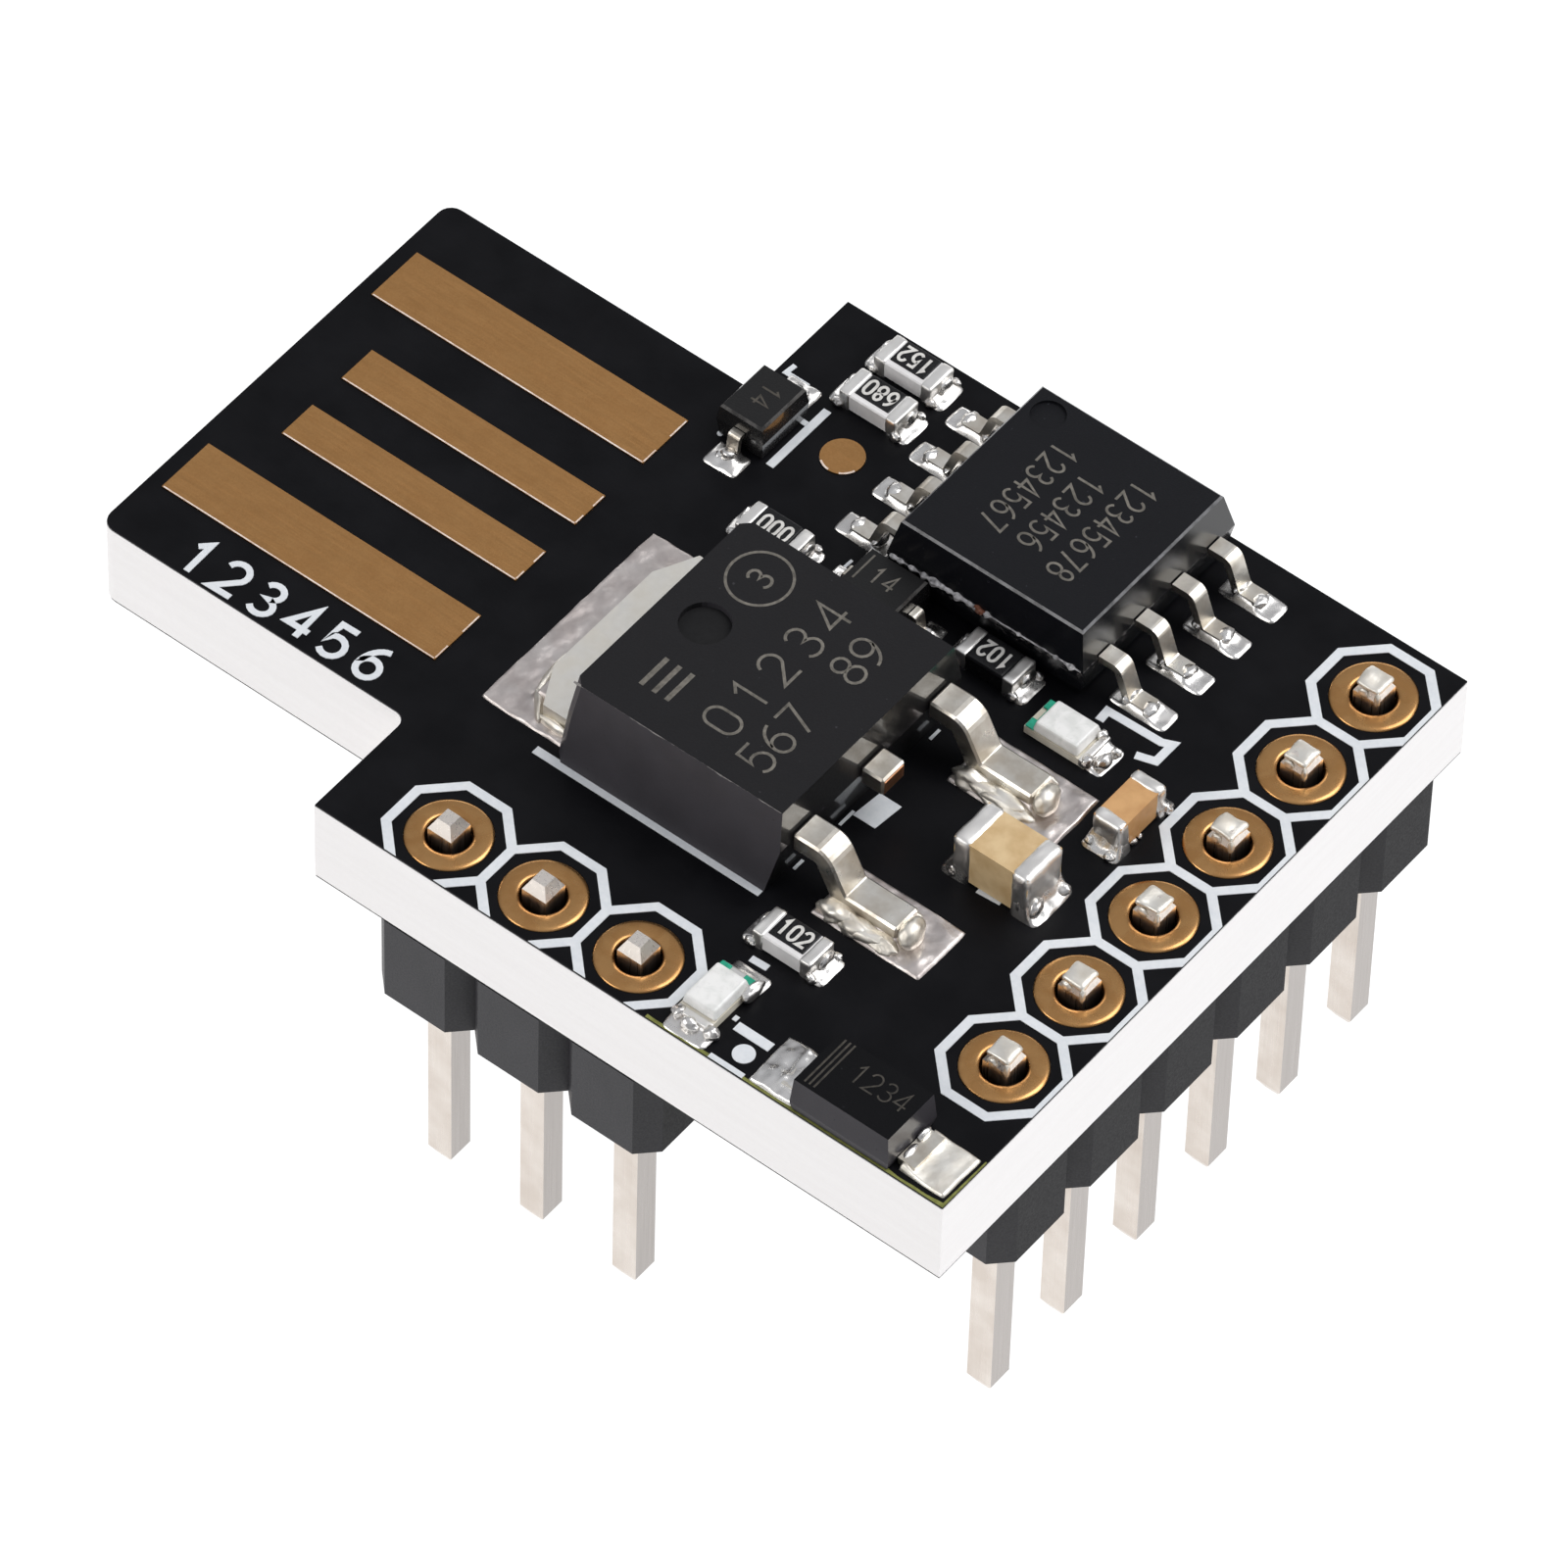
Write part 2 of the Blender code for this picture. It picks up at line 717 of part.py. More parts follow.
def build_leds(materials, parts):
    """Light-emitting diodes: a thin substrate with a moulded lens on it."""
    length, width, height = LED_SIZE
    top = height + LED_LENS_HEIGHT
    for name, led in LEDS.items():
        base = stacked_block(
            name + "_base",
            centred_levels([(GAP, length, width), (height, length, width)]),
            materials["led_base"],
            parts,
        )
        lens = stacked_block(
            name + "_lens",
            centred_levels([
                (height + GAP, LED_LENS_LENGTH, width),
                (top, LED_LENS_LENGTH - 0.12, width - 0.12),
            ]),
            materials["led_lens"],
            parts,
        )
        soften_edges(lens, 0.05)
        for piece in (base, lens):
            turn_and_place(piece, led["place"], BOARD_TOP, led["along"])


# ---------------------------------------------------------------- whole part

def main():
    clear_scene()
    parts = new_collection("microcontroller_dev_board")
    cutters = new_collection("cutters")
    materials = {
        "laminate": new_material("laminate", (0.84, 0.82, 0.76), 0.6),
        "solder_mask": new_material("solder_mask", (0.010, 0.010, 0.013), 0.35),
        "gold": new_material("gold", (0.50, 0.33, 0.14), 0.35, 1.0),
        "header_plastic": new_material("header_plastic", (0.03, 0.03, 0.035), 0.5),
        "pin_metal": new_material("pin_metal", (0.72, 0.69, 0.64), 0.3, 1.0),
        "tinned_metal": new_material("tinned_metal", (0.75, 0.74, 0.72), 0.3, 1.0),
        "black_epoxy": new_material("black_epoxy", (0.02, 0.02, 0.022), 0.45),
        "alumina": new_material("alumina", (0.85, 0.83, 0.80), 0.5),
        "capacitor_ceramic": new_material("capacitor_ceramic", (0.55, 0.38, 0.20), 0.45),
        "led_base": new_material("led_base", (0.80, 0.78, 0.72), 0.5),
        "led_lens": new_material("led_lens", (0.85, 0.88, 0.85), 0.25),
    }
    build_board(materials, parts)
    build_headers(materials, parts)
    build_microcontroller(materials, parts, cutters)
    build_regulator(materials, parts, cutters)
    for name, placing in ZENERS.items():
        build_zener(name, placing, materials, parts)
    build_schottky(materials, parts)
    build_resistors(materials, parts)
    build_capacitors(materials, parts, cutters)
    build_leds(materials, parts)


main()
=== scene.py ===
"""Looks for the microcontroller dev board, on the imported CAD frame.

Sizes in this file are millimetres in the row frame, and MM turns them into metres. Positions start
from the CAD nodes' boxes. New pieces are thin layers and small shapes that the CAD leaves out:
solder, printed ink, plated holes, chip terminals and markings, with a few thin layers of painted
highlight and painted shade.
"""

import math

import bmesh
import bpy
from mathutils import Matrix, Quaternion, Vector, noise


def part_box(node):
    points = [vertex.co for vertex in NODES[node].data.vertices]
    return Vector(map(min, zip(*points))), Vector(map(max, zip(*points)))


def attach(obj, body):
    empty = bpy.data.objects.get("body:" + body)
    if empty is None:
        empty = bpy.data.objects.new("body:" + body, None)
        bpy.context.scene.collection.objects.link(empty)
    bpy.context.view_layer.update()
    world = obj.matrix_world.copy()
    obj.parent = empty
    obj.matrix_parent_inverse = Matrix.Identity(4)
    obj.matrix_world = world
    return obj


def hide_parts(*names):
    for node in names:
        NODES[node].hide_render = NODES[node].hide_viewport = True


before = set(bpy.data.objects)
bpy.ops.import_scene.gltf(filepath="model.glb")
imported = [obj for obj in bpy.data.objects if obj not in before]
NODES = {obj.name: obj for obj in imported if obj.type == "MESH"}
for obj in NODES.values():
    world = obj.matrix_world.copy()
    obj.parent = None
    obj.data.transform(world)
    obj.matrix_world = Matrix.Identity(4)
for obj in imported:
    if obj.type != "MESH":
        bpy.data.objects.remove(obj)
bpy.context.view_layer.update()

MM = 0.001


# ---------------------------------------------------------------- reading the frame

def span(node):
    """Lowest and highest corner of a CAD node, in millimetres."""
    low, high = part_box(node)
    return [value / MM for value in low], [value / MM for value in high]


def middle(node):
    """Middle of a CAD node in plan, in millimetres."""
    low, high = span(node)
    return (low[0] + high[0]) / 2, (low[1] + high[1]) / 2


def named(prefix, ending=""):
    """CAD node names with this start and end, in order."""
    return sorted(name for name in NODES if name.startswith(prefix) and name.endswith(ending))


def footprint(node, inset=0.0):
    """Plan box of a CAD node, made smaller all round: (x_low, x_high, y_low, y_high)."""
    low, high = span(node)
    return low[0] + inset, high[0] - inset, low[1] + inset, high[1] - inset


BOARD_LOW, BOARD_HIGH = span("solder_mask_top")
TOP = BOARD_HIGH[2]
SILK = TOP + 0.02  # height of the printed ink
PITCH = 2.54  # from pin to pin


# ---------------------------------------------------------------- material builder

class Surface:
    """Principled material whose textures are laid out in millimetres on the object."""

    def __init__(self, name, roughness=0.5, metallic=0.0, specular=0.5, **constants):
        self.material = bpy.data.materials.new(name)
        self.material.use_nodes = True
        self.nodes = self.material.node_tree.nodes
        self.links = self.material.node_tree.links
        self.shader = self.nodes["Principled BSDF"]
        constants.update(Roughness=roughness, Metallic=metallic, Specular_IOR_Level=specular)
        for key, value in constants.items():
            self.shader.inputs[key.replace("_", " ")].default_value = value
        scaled = self.nodes.new("ShaderNodeVectorMath")
        scaled.operation = "SCALE"
        scaled.inputs["Scale"].default_value = 1 / MM
        self.links.new(self.add("TexCoord").outputs["Object"], scaled.inputs[0])
        self.place = scaled.outputs["Vector"]
        self.normal = None

    def put(self, socket, value):
        """Link an input to a socket, or set its number or numbers."""
        if isinstance(value, bpy.types.NodeSocket):
            self.links.new(value, socket)
        else:
            socket.default_value = value

    def add(self, kind, **inputs):
        """New node with its inputs linked or set."""
        node = self.nodes.new("ShaderNode" + kind)
        for key, value in inputs.items():
            self.put(node.inputs[key.replace("_", " ")], value)
        return node

    def noise(self, scale, detail=3.0, factors=(1, 1, 1), offset=(0, 0, 0), distortion=0.0):
        """Noise with this many features a millimetre, along axes that are scaled by factors."""
        place = self.add("Mapping", Scale=factors, Location=offset, Vector=self.place).outputs["Vector"]
        texture = self.add("TexNoise", Scale=scale, Detail=detail, Distortion=distortion, Vector=place)
        return texture.outputs["Fac"]

    def ramp(self, value, low=0.3, high=0.7, start=0.0, end=1.0):
        """Value between two levels, stretched to run from start to end."""
        spread = self.add("MapRange", Value=value, From_Min=low, From_Max=high, To_Min=start, To_Max=end)
        return spread.outputs["Result"]

    def math(self, operation, first, second=0.0):
        """Result of a maths node on two values, each a socket or a number."""
        node = self.nodes.new("ShaderNodeMath")
        node.operation = operation
        self.put(node.inputs[0], first)
        self.put(node.inputs[1], second)
        return node.outputs["Value"]

    def blend(self, first, second, share):
        """Sum of two values, where the first has this share of the weight."""
        return self.math("ADD", self.math("MULTIPLY", first, share), self.math("MULTIPLY", second, 1 - share))

    def mix(self, factor, first, second):
        """Colour between two colours, each a socket or three numbers."""
        node = self.nodes.new("ShaderNodeMix")
        node.data_type = "RGBA"
        self.links.new(factor, node.inputs["Factor"])
        for socket, value in ((node.inputs[6], first), (node.inputs[7], second)):
            self.put(socket, (*value, 1.0) if isinstance(value, tuple) else value)
        return node.outputs[2]

    def facing(self, axis):
        """One part of the surface's own direction: 0 for X, 1 for Y, 2 for Z."""
        return self.add("SeparateXYZ", Vector=self.add("NewGeometry").outputs["True Normal"]).outputs[axis]

    def sideways(self, axis, low, high, end=1.0):
        """Rises to its end value where the surface faces either way along an axis."""
        return self.ramp(self.math("ABSOLUTE", self.facing(axis)), low, high, 0.0, end)

    def height(self):
        """Height on the object, in millimetres."""
        return self.add("SeparateXYZ", Vector=self.place).outputs[2]

    def bump(self, height, distance, strength=0.5):
        """Relief of this many millimetres; later calls add to earlier ones."""
        node = self.add("Bump", Distance=distance * MM, Strength=strength, Height=height)
        if self.normal is not None:
            self.links.new(self.normal, node.inputs["Normal"])
        self.normal = node.outputs["Normal"]

    def finish(self, color, roughness=None, **sockets):
        """Connect what was made and return the material."""
        sockets.update(Base_Color=color, Roughness=roughness, Normal=self.normal)
        for key, value in sockets.items():
            if value is not None:
                self.links.new(value, self.shader.inputs[key.replace("_", " ")])
        return self.material


# ---------------------------------------------------------------- materials

def mask_material():
    """Black solder mask: dark, faintly uneven, with the weave just showing through."""
    surface = Surface("solder_mask_black", specular=0.10)
    cloud = surface.noise(0.9, 4.0)
    surface.bump(surface.noise(5.0), 0.004, 0.6)
    surface.bump(surface.noise(3.2, 2.0, factors=(1, 3, 1)), 0.006)
    color = surface.mix(surface.ramp(cloud, 0.35), (0.0036, 0.0036, 0.0046), (0.0056, 0.0056, 0.0070))
    return surface.finish(color, surface.ramp(cloud, 0.3, 0.7, 0.36, 0.5))


def laminate_material():
    """Milled edge of glass-epoxy board: pale and even, with faint layers of glass cloth."""
    surface = Surface("laminate_edge", specular=0.2)
    layers = surface.noise(1.0, factors=(0.4, 0.4, 7.0))
    speck = surface.noise(9.0)
    tone = surface.ramp(surface.blend(layers, speck, 0.6), 0.35, 0.65)
    surface.bump(speck, 0.003)
    color = surface.mix(tone, (0.935, 0.912, 0.904), (0.965, 0.945, 0.938))
    return surface.finish(color, surface.ramp(speck, 0.3, 0.7, 0.6, 0.75))


def gold_material(name, light, dark, roughness, scratch):
    """Thin gold, or bare copper: fine scratches along the board, faint staining and a fine grain."""
    surface = Surface(name, metallic=1.0)
    scratches = surface.noise(1.0, 4.0, factors=(1.2, 26.0, 8.0))
    grain = surface.noise(19.0)
    tone = surface.blend(surface.noise(2.4, 4.0, distortion=0.4), grain, 0.5)
    color = surface.mix(surface.ramp(tone, 0.38, 0.62), dark, light)
    rubbed = surface.ramp(scratches, 0.3, 0.7, -0.06 * scratch, 0.06 * scratch)
    rough = surface.math("ADD", rubbed, surface.ramp(tone, 0.35, 0.65, roughness + 0.05, roughness))
    surface.bump(scratches, 0.003 * scratch, 0.6)
    surface.bump(grain, 0.0025)
    return surface.finish(color, rough)


def ring_material():
    """Thin gold over copper on a plated hole, with painted shade that darkens it down the barrel."""
    surface = Surface("ring_gold", metallic=1.0)
    stain = surface.noise(2.4, 4.0, distortion=0.4)
    fresh = surface.mix(surface.ramp(stain, 0.38, 0.62), (0.51, 0.265, 0.098), (0.60, 0.330, 0.130))
    # painted shade: the colour darkens towards the bottom of the barrel
    barrel_shade = surface.ramp(surface.height(), TOP - 0.85, TOP - 0.02)
    surface.bump(surface.noise(19.0), 0.0008)
    color = surface.mix(barrel_shade, (0.10, 0.045, 0.020), fresh)
    return surface.finish(color, surface.ramp(stain, 0.35, 0.65, 0.30, 0.24))


def header_material():
    """Moulded black header plastic with a fine mould texture, duller on the right, where it also gets painted
    shade.
    """
    surface = Surface("header_plastic_black", specular=0.38)
    grain = surface.noise(22.0)
    flow = surface.noise(1.4, 4.0, factors=(1, 1, 0.5))
    surface.bump(grain, 0.005, 0.6)
    surface.bump(flow, 0.02, 0.25)
    color = surface.mix(surface.ramp(flow), (0.0125, 0.0120, 0.0155), (0.0190, 0.0180, 0.0225))
    # painted shade: faces towards +X get a darker colour; they are also made rougher
    right = surface.ramp(surface.facing(0), 0.6, 0.9)
    color = surface.mix(right, color, (0.0060, 0.0058, 0.0075))
    rough = surface.ramp(grain, 0.3, 0.7, 0.40, 0.55)
    return surface.finish(color, surface.math("ADD", rough, surface.ramp(right, 0.0, 1.0, 0.0, 0.22)))


def pin_material():
    """Stamped and plated pin with bright rolled faces and long fine streaks; the faces towards X are painted
    darker, as painted shade that also stands for duller sheared faces.
    """
    surface = Surface("pin_plating", metallic=1.0)
    streaks = surface.noise(1.0, 4.0, factors=(20.0, 20.0, 0.45))
    patches = surface.noise(1.1, offset=(5, 1, 2))
    rolled = surface.mix(surface.ramp(patches, 0.35), (0.66, 0.590, 0.53), (0.77, 0.710, 0.655))
    # painted shade: faces towards X darker than the rolled faces, partly for the duller sheared faces
    color = surface.mix(surface.sideways(0, 0.6, 0.95), rolled, (0.44, 0.410, 0.39))
    tinned_end = surface.ramp(surface.height(), TOP + 0.05, TOP + 0.30)
    color = surface.mix(tinned_end, color, (0.95, 0.875, 0.80))
    surface.bump(streaks, 0.004)
    return surface.finish(color, surface.ramp(streaks, 0.3, 0.7, 0.24, 0.40))


def tinned_material(name, roughness, dark, light, grain, relief, spread=0.04):
    """Tinned or soldered metal: bright and smooth, with soft lumps and duller patches."""
    surface = Surface(name, metallic=1.0)
    fine = surface.noise(grain * 7.0, 2.0)
    patches = surface.noise(1.8, offset=(4, 9, 3))
    surface.bump(surface.noise(grain, 2.0), relief, 0.6)
    surface.bump(fine, 0.0012)
    color = surface.mix(surface.ramp(patches, 0.35, 0.68), dark, light)
    dull = surface.ramp(patches, 0.3, 0.7, roughness + spread, roughness - spread)
    return surface.finish(color, surface.math("ADD", dull, surface.ramp(fine, 0.3, 0.7, -0.02, 0.03)))


def package_material(
    name, top, lit_wall, edge, roughness, grain, gloss, specular, coat=0.07, right=None, band=None
):
    """Moulded package: grainy top, smoother walls, and pale edges between them, which are painted highlight
    and wear.

    Roughness is for the top and the walls, and gloss is how mirror-like the walls that face X and Y
    are. Walls lighter than the top are painted light, and right is the darker tone of the wall that
    faces +X, as painted shade. Band is the rough, speckled strip at the parting line: (lowest, highest)
    height.
    """
    surface = Surface(name, specular=specular, Coat_Roughness=coat, Coat_IOR=1.9)
    fine = surface.noise(grain, 4.0)
    cloud = surface.noise(0.9, 4.0, offset=(2, 5, 8))
    speck = surface.noise(grain * 0.4, 1.0, offset=(9, 2, 4))
    rise = surface.facing(2)
    up = surface.ramp(rise, 0.955, 0.985)
    # painted shade: the wall that faces +X takes the darker right tone
    if right is not None:
        lit_wall = surface.mix(surface.ramp(surface.facing(0), 0.55, 0.8), lit_wall, right)
    # painted light: walls take their own tone, lighter than the top on some packages
    color = surface.mix(up, lit_wall, top)
    color = surface.mix(surface.ramp(cloud, 0.3, 0.7, 0.0, 0.22), color, tuple(value * 0.55 for value in top))
    color = surface.mix(surface.ramp(speck, 0.76, 0.82), color, tuple(value * 3.0 + 0.008 for value in top))
    # painted highlight and wear: sloping faces between the top and the walls take the pale edge colour
    sloping = surface.ramp(rise, 0.24, 0.34)
    steep = surface.math("MULTIPLY", sloping, surface.ramp(rise, 0.955, 0.985, 1.0, 0.0))
    wear_and_highlight = surface.math("MULTIPLY", steep, surface.ramp(surface.noise(4.0), 0.36, 0.60, 0.25, 1.0))
    color = surface.mix(wear_and_highlight, color, edge)
    if band is not None:
        height = surface.height()
        above = surface.ramp(height, band[1], band[1] + 0.05, 1.0, 0.0)
        inside = surface.math("MULTIPLY", surface.ramp(height, band[0], band[1] - 0.08), above)
        spots = surface.noise(9.0, 4.0, factors=(0.8, 1.0, 1.5), offset=(3, 1, 7))
        rough_spots = surface.math("MULTIPLY", inside, surface.ramp(spots, 0.50, 0.66))
        color = surface.mix(rough_spots, color, (0.17, 0.162, 0.160))
    flat = surface.ramp(up, 0.0, 1.0, roughness[1], roughness[0])
    rough = surface.math("ADD", flat, surface.ramp(fine, 0.3, 0.7, -0.04, 0.05))
    surface.bump(surface.math("MULTIPLY", fine, surface.ramp(up, 0.0, 1.0, 0.25, 1.0)), 0.012, 0.55)
    shine = [surface.sideways(axis, 0.55, 0.8, gloss[axis]) for axis in (0, 1)]
    return surface.finish(color, rough, Coat_Weight=surface.math("ADD", *shine))


def ceramic_material(name, light, dark, roughness):
    """Fired ceramic with faint clouding and a fine grain."""
    surface = Surface(name)
    fine = surface.noise(9.0)
    color = surface.mix(surface.ramp(surface.noise(2.2, 4.0), 0.32, 0.68), dark, light)
    surface.bump(fine, 0.008)
    return surface.finish(color, surface.ramp(fine, 0.3, 0.7, roughness - 0.08, roughness + 0.1))


def overcoat_material():
    """Dark glaze of the resistors, slightly grainy; on the shaded resistors it covers the whole body as
    painted shade.
    """
    surface = Surface("resistor_overcoat", specular=0.3)
    fine = surface.noise(16.0, 4.0)
    color = surface.mix(surface.ramp(surface.noise(1.4)), (0.007, 0.007, 0.008), (0.010, 0.010, 0.011))
    surface.bump(fine, 0.008)
    return surface.finish(color, surface.ramp(fine, 0.3, 0.7, 0.24, 0.38))


def ink_material(name, light, dark, roughness=0.6):
    """Thin printed, marked or rubbed layer: flat, with small gaps and uneven density."""
    surface = Surface(name, specular=0.3)
    fine = surface.noise(9.0, 4.0)
    color = surface.mix(surface.ramp(surface.blend(fine, surface.noise(1.5), 0.6), 0.34, 0.62), dark, light)
    surface.bump(fine, 0.004)
    return surface.finish(color, surface.ramp(fine, 0.3, 0.7, roughness - 0.08, roughness + 0.08))


def lens_material():
    """Milky white moulded lens."""
    surface = Surface("led_lens_resin", Coat_Weight=0.3, Coat_Roughness=0.15)
    cloud = surface.noise(3.0, 4.0, distortion=0.5)
    fine = surface.noise(11.0)
    surface.bump(cloud, 0.02)
    surface.bump(fine, 0.004)
    color = surface.mix(surface.ramp(cloud, 0.38, 0.58), (0.82, 0.820, 0.790), (0.96, 0.950, 0.925))
    return surface.finish(color, surface.ramp(fine, 0.3, 0.7, 0.25, 0.42))


def floor_material():
    """Pale studio floor."""
    glow = {"Emission_Color": (1.0, 1.0, 1.0, 1.0), "Emission_Strength": 1.02}
    surface = Surface("studio_floor", roughness=0.9, specular=0.1, **glow)
    cloud = surface.ramp(surface.noise(0.01, 2.0))
    return surface.finish(surface.mix(cloud, (0.15, 0.15, 0.15), (0.17, 0.17, 0.17)))


MATERIALS = {
    "mask": mask_material(),
    "laminate": laminate_material(),
    "gold": gold_material("contact_gold", (0.545, 0.290, 0.110), (0.475, 0.245, 0.090), 0.36, 1.0),
    "ring": ring_material(),
    "header": header_material(),
    "pin": pin_material(),
    "lead": tinned_material("tinned_leads", 0.34, (0.6, 0.545, 0.465), (0.93, 0.895, 0.82), 2.2, 0.016, 0.07),
    "tab": tinned_material("tinned_tab", 0.42, (0.83, 0.790, 0.710), (0.95, 0.920, 0.855), 1.2, 0.010, 0.06),
    "solder": tinned_material("solder", 0.27, (0.74, 0.715, 0.69), (0.93, 0.915, 0.89), 2.2, 0.012, 0.06),
    "satin": tinned_material("satin_solder", 0.46, (0.8, 0.745, 0.655), (0.96, 0.93, 0.86), 3.6, 0.022, 0.08),
    "pad": tinned_material("pad_tinning", 0.42, (0.53, 0.475, 0.455), (0.74, 0.685, 0.655), 4.0, 0.022, 0.07),
    "cap_end": tinned_material("chip_terminals", 0.40, (0.84, 0.82, 0.79), (0.95, 0.93, 0.90), 2.5, 0.010),
    # the third colour of each package is its pale edge colour: painted highlight and wear
    "mcu": package_material(
        "mcu_moulding", (0.0070, 0.0073, 0.0095), (0.0070, 0.0075, 0.0095), (0.150, 0.150, 0.158),
        (0.46, 0.20), 26.0, (0.45, 0.30), 0.16, 0.16, band=(TOP + 0.50, TOP + 0.96),
    ),
    # painted light: the regulator's walls are lighter than its top, and its +X wall tone is painted shade
    "regulator": package_material(
        "regulator_moulding", (0.0095, 0.0090, 0.0105), (0.0560, 0.0525, 0.0600), (0.13, 0.12, 0.12),
        (0.56, 0.45), 18.0, (0.60, 0.0), 0.22, right=(0.0060, 0.0058, 0.0066),
    ),
    # painted light: the zener walls are a little lighter than their top
    "zener": package_material(
        "zener_moulding", (0.0070, 0.0068, 0.0072), (0.0120, 0.0115, 0.0120), (0.11, 0.105, 0.10),
        (0.45, 0.25), 20.0, (0.6, 0.2), 0.3,
    ),
    # painted light: the power diode's walls are lighter than its top
    "schottky": package_material(
        "schottky_moulding", (0.0030, 0.0030, 0.0040), (0.0430, 0.0400, 0.0460), (0.12, 0.115, 0.12),
        (0.46, 0.42), 20.0, (0.30, 0.0), 0.12, 0.14,
    ),
    "alumina": ceramic_material("resistor_ceramic", (0.90, 0.88, 0.87), (0.78, 0.76, 0.75), 0.42),
    "overcoat": overcoat_material(),
    "tan": ceramic_material("capacitor_ceramic_tan", (0.76, 0.56, 0.31), (0.60, 0.40, 0.19), 0.42),
    "brown": ceramic_material("capacitor_ceramic_brown", (0.70, 0.40, 0.17), (0.56, 0.29, 0.11), 0.42),
    "led_base": ceramic_material("led_substrate", (0.84, 0.80, 0.70), (0.70, 0.64, 0.52), 0.5),
    "lens": lens_material(),
    "green": ink_material("led_green_mark", (0.045, 0.50, 0.32), (0.02, 0.32, 0.20), 0.45),
    # painted highlight along the edges of the contacts and the test pad
    "rim_highlight": ink_material("contact_rim_highlight", (0.95, 0.84, 0.76), (0.70, 0.50, 0.38), 0.35),
    "silk": ink_material("printed_ink_white", (0.82, 0.84, 0.86), (0.74, 0.77, 0.80)),
    "etch": ink_material("laser_mark_grey", (0.215, 0.198, 0.170), (0.095, 0.087, 0.074)),
    # painted shade in the regulator's dimple
    "dimple_shade": ink_material("dimple_floor_shade", (0.0060, 0.0058, 0.0065), (0.0035, 0.0034, 0.0040), 0.7),
    # painted highlight and wear along the regulator's top front edge
    "wear_and_highlight": ink_material("edge_wear_highlight", (0.34, 0.32, 0.30), (0.10, 0.095, 0.095), 0.45),
    "faint_etch": ink_material("laser_mark_faint", (0.085, 0.075, 0.062), (0.030, 0.027, 0.023)),
    "code": ink_material("printed_code_white", (0.80, 0.78, 0.74), (0.60, 0.58, 0.55)),
    "olive": ink_material("bare_laminate_olive", (0.27, 0.28, 0.075), (0.15, 0.16, 0.035), 0.5),
    # flash colour with pale patches of painted highlight
    "flash": ink_material("moulding_flash_highlight", (0.80, 0.78, 0.79), (0.05, 0.05, 0.055), 0.35),
    "residue": ink_material("flux_residue", (0.30, 0.12, 0.07), (0.14, 0.05, 0.03), 0.3),
    "copper": gold_material("bare_copper", (0.72, 0.36, 0.20), (0.55, 0.25, 0.12), 0.3, 0.0),
}


# Resistors painted dark all over with the overcoat, as painted shade
SHADED_RESISTORS = ("resistor_beside_mcu", "resistor_behind_regulator")

# CAD nodes by the start and end of their names, with their material and how their edges are
# rounded: (width, segments, smallest angle in degrees)
NODE_LOOKS = (
    ("board_laminate", "", "laminate", (0.015, 1, 60)),
    ("solder_mask", "", "mask", None),
    ("usb_contact", "", "gold", (0.025, 2, 30)),
    ("test_pad", "", "gold", (0.025, 2, 30)),
    ("header_housing", "", "header", (0.07, 2, 30)),
    ("pin_", "", "pin", (0.035, 2, 20)),
    ("mcu_lead", "", "lead", (0.025, 2, 30)),
    ("mcu_body", "", "mcu", (0.020, 2, 20)),
    ("regulator_lead", "", "lead", (0.02, 2, 20)),
    ("regulator_tab", "", "tab", (0.06, 2, 30)),
    ("regulator_body", "", "regulator", (0.04, 3, 25)),
    ("zener", "anode", "lead", (0.025, 2, 30)),
    ("zener", "cathode", "lead", (0.025, 2, 30)),
    ("zener", "body", "zener", (0.035, 3, 25)),
    ("schottky_terminal", "", "lead", (0.02, 2, 30)),
    ("schottky_body", "", "schottky", (0.035, 3, 25)),
    ("resistor", "", "alumina", None),
    ("capacitor_large_ceramic", "", "tan", (0.04, 2, 30)),
    ("capacitor_small_ceramic", "", "brown", (0.04, 2, 30)),
    ("led", "base", "led_base", (0.02, 2, 30)),
    ("led", "lens", "lens", None),
)


def dress_nodes():
    """Material and edge rounding of every CAD node that stays."""
    for start, end, key, rounding in NODE_LOOKS:
        for node in named(start, end):
            data = NODES[node].data
            data.materials.clear()
            # painted shade: the shaded resistors take the dark overcoat all over
            data.materials.append(MATERIALS["overcoat" if node in SHADED_RESISTORS else key])
            if rounding is not None:
                bevel = NODES[node].modifiers.new("rounded_edges", "BEVEL")
                bevel.width = rounding[0] * MM
                bevel.segments = rounding[1]
                bevel.limit_method = "ANGLE"
                bevel.angle_limit = math.radians(rounding[2])
                bevel.harden_normals = False


# ---------------------------------------------------------------- shape helpers

def polar(place, radius, angle):
    """Point in plan at a distance and an angle in radians from a place."""
    return place[0] + radius * math.cos(angle), place[1] + radius * math.sin(angle)


def add_object(name, data, key):
    """Piece with this mesh and material, riding on the board."""
    data.materials.append(MATERIALS[key])
    piece = bpy.data.objects.new(name, data)
    bpy.context.scene.collection.objects.link(piece)
    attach(piece, "root")
    return piece


def add_piece(name, vertices, faces, key, smooth=True):
    """Mesh piece from points in millimetres."""
    data = bpy.data.meshes.new(name)
    data.from_pydata([Vector(vertex) * MM for vertex in vertices], [], faces)
    data.validate()
    if smooth:
        data.shade_smooth()
    return add_object(name, data, key)


def add_shaped(name, mesh, key):
    """Mesh piece from a bmesh in millimetres, which is freed."""
    mesh.verts.index_update()
    vertices = [tuple(vertex.co) for vertex in mesh.verts]
    faces = [tuple(vertex.index for vertex in face.verts) for face in mesh.faces]
    mesh.free()
    return add_piece(name, vertices, faces, key)


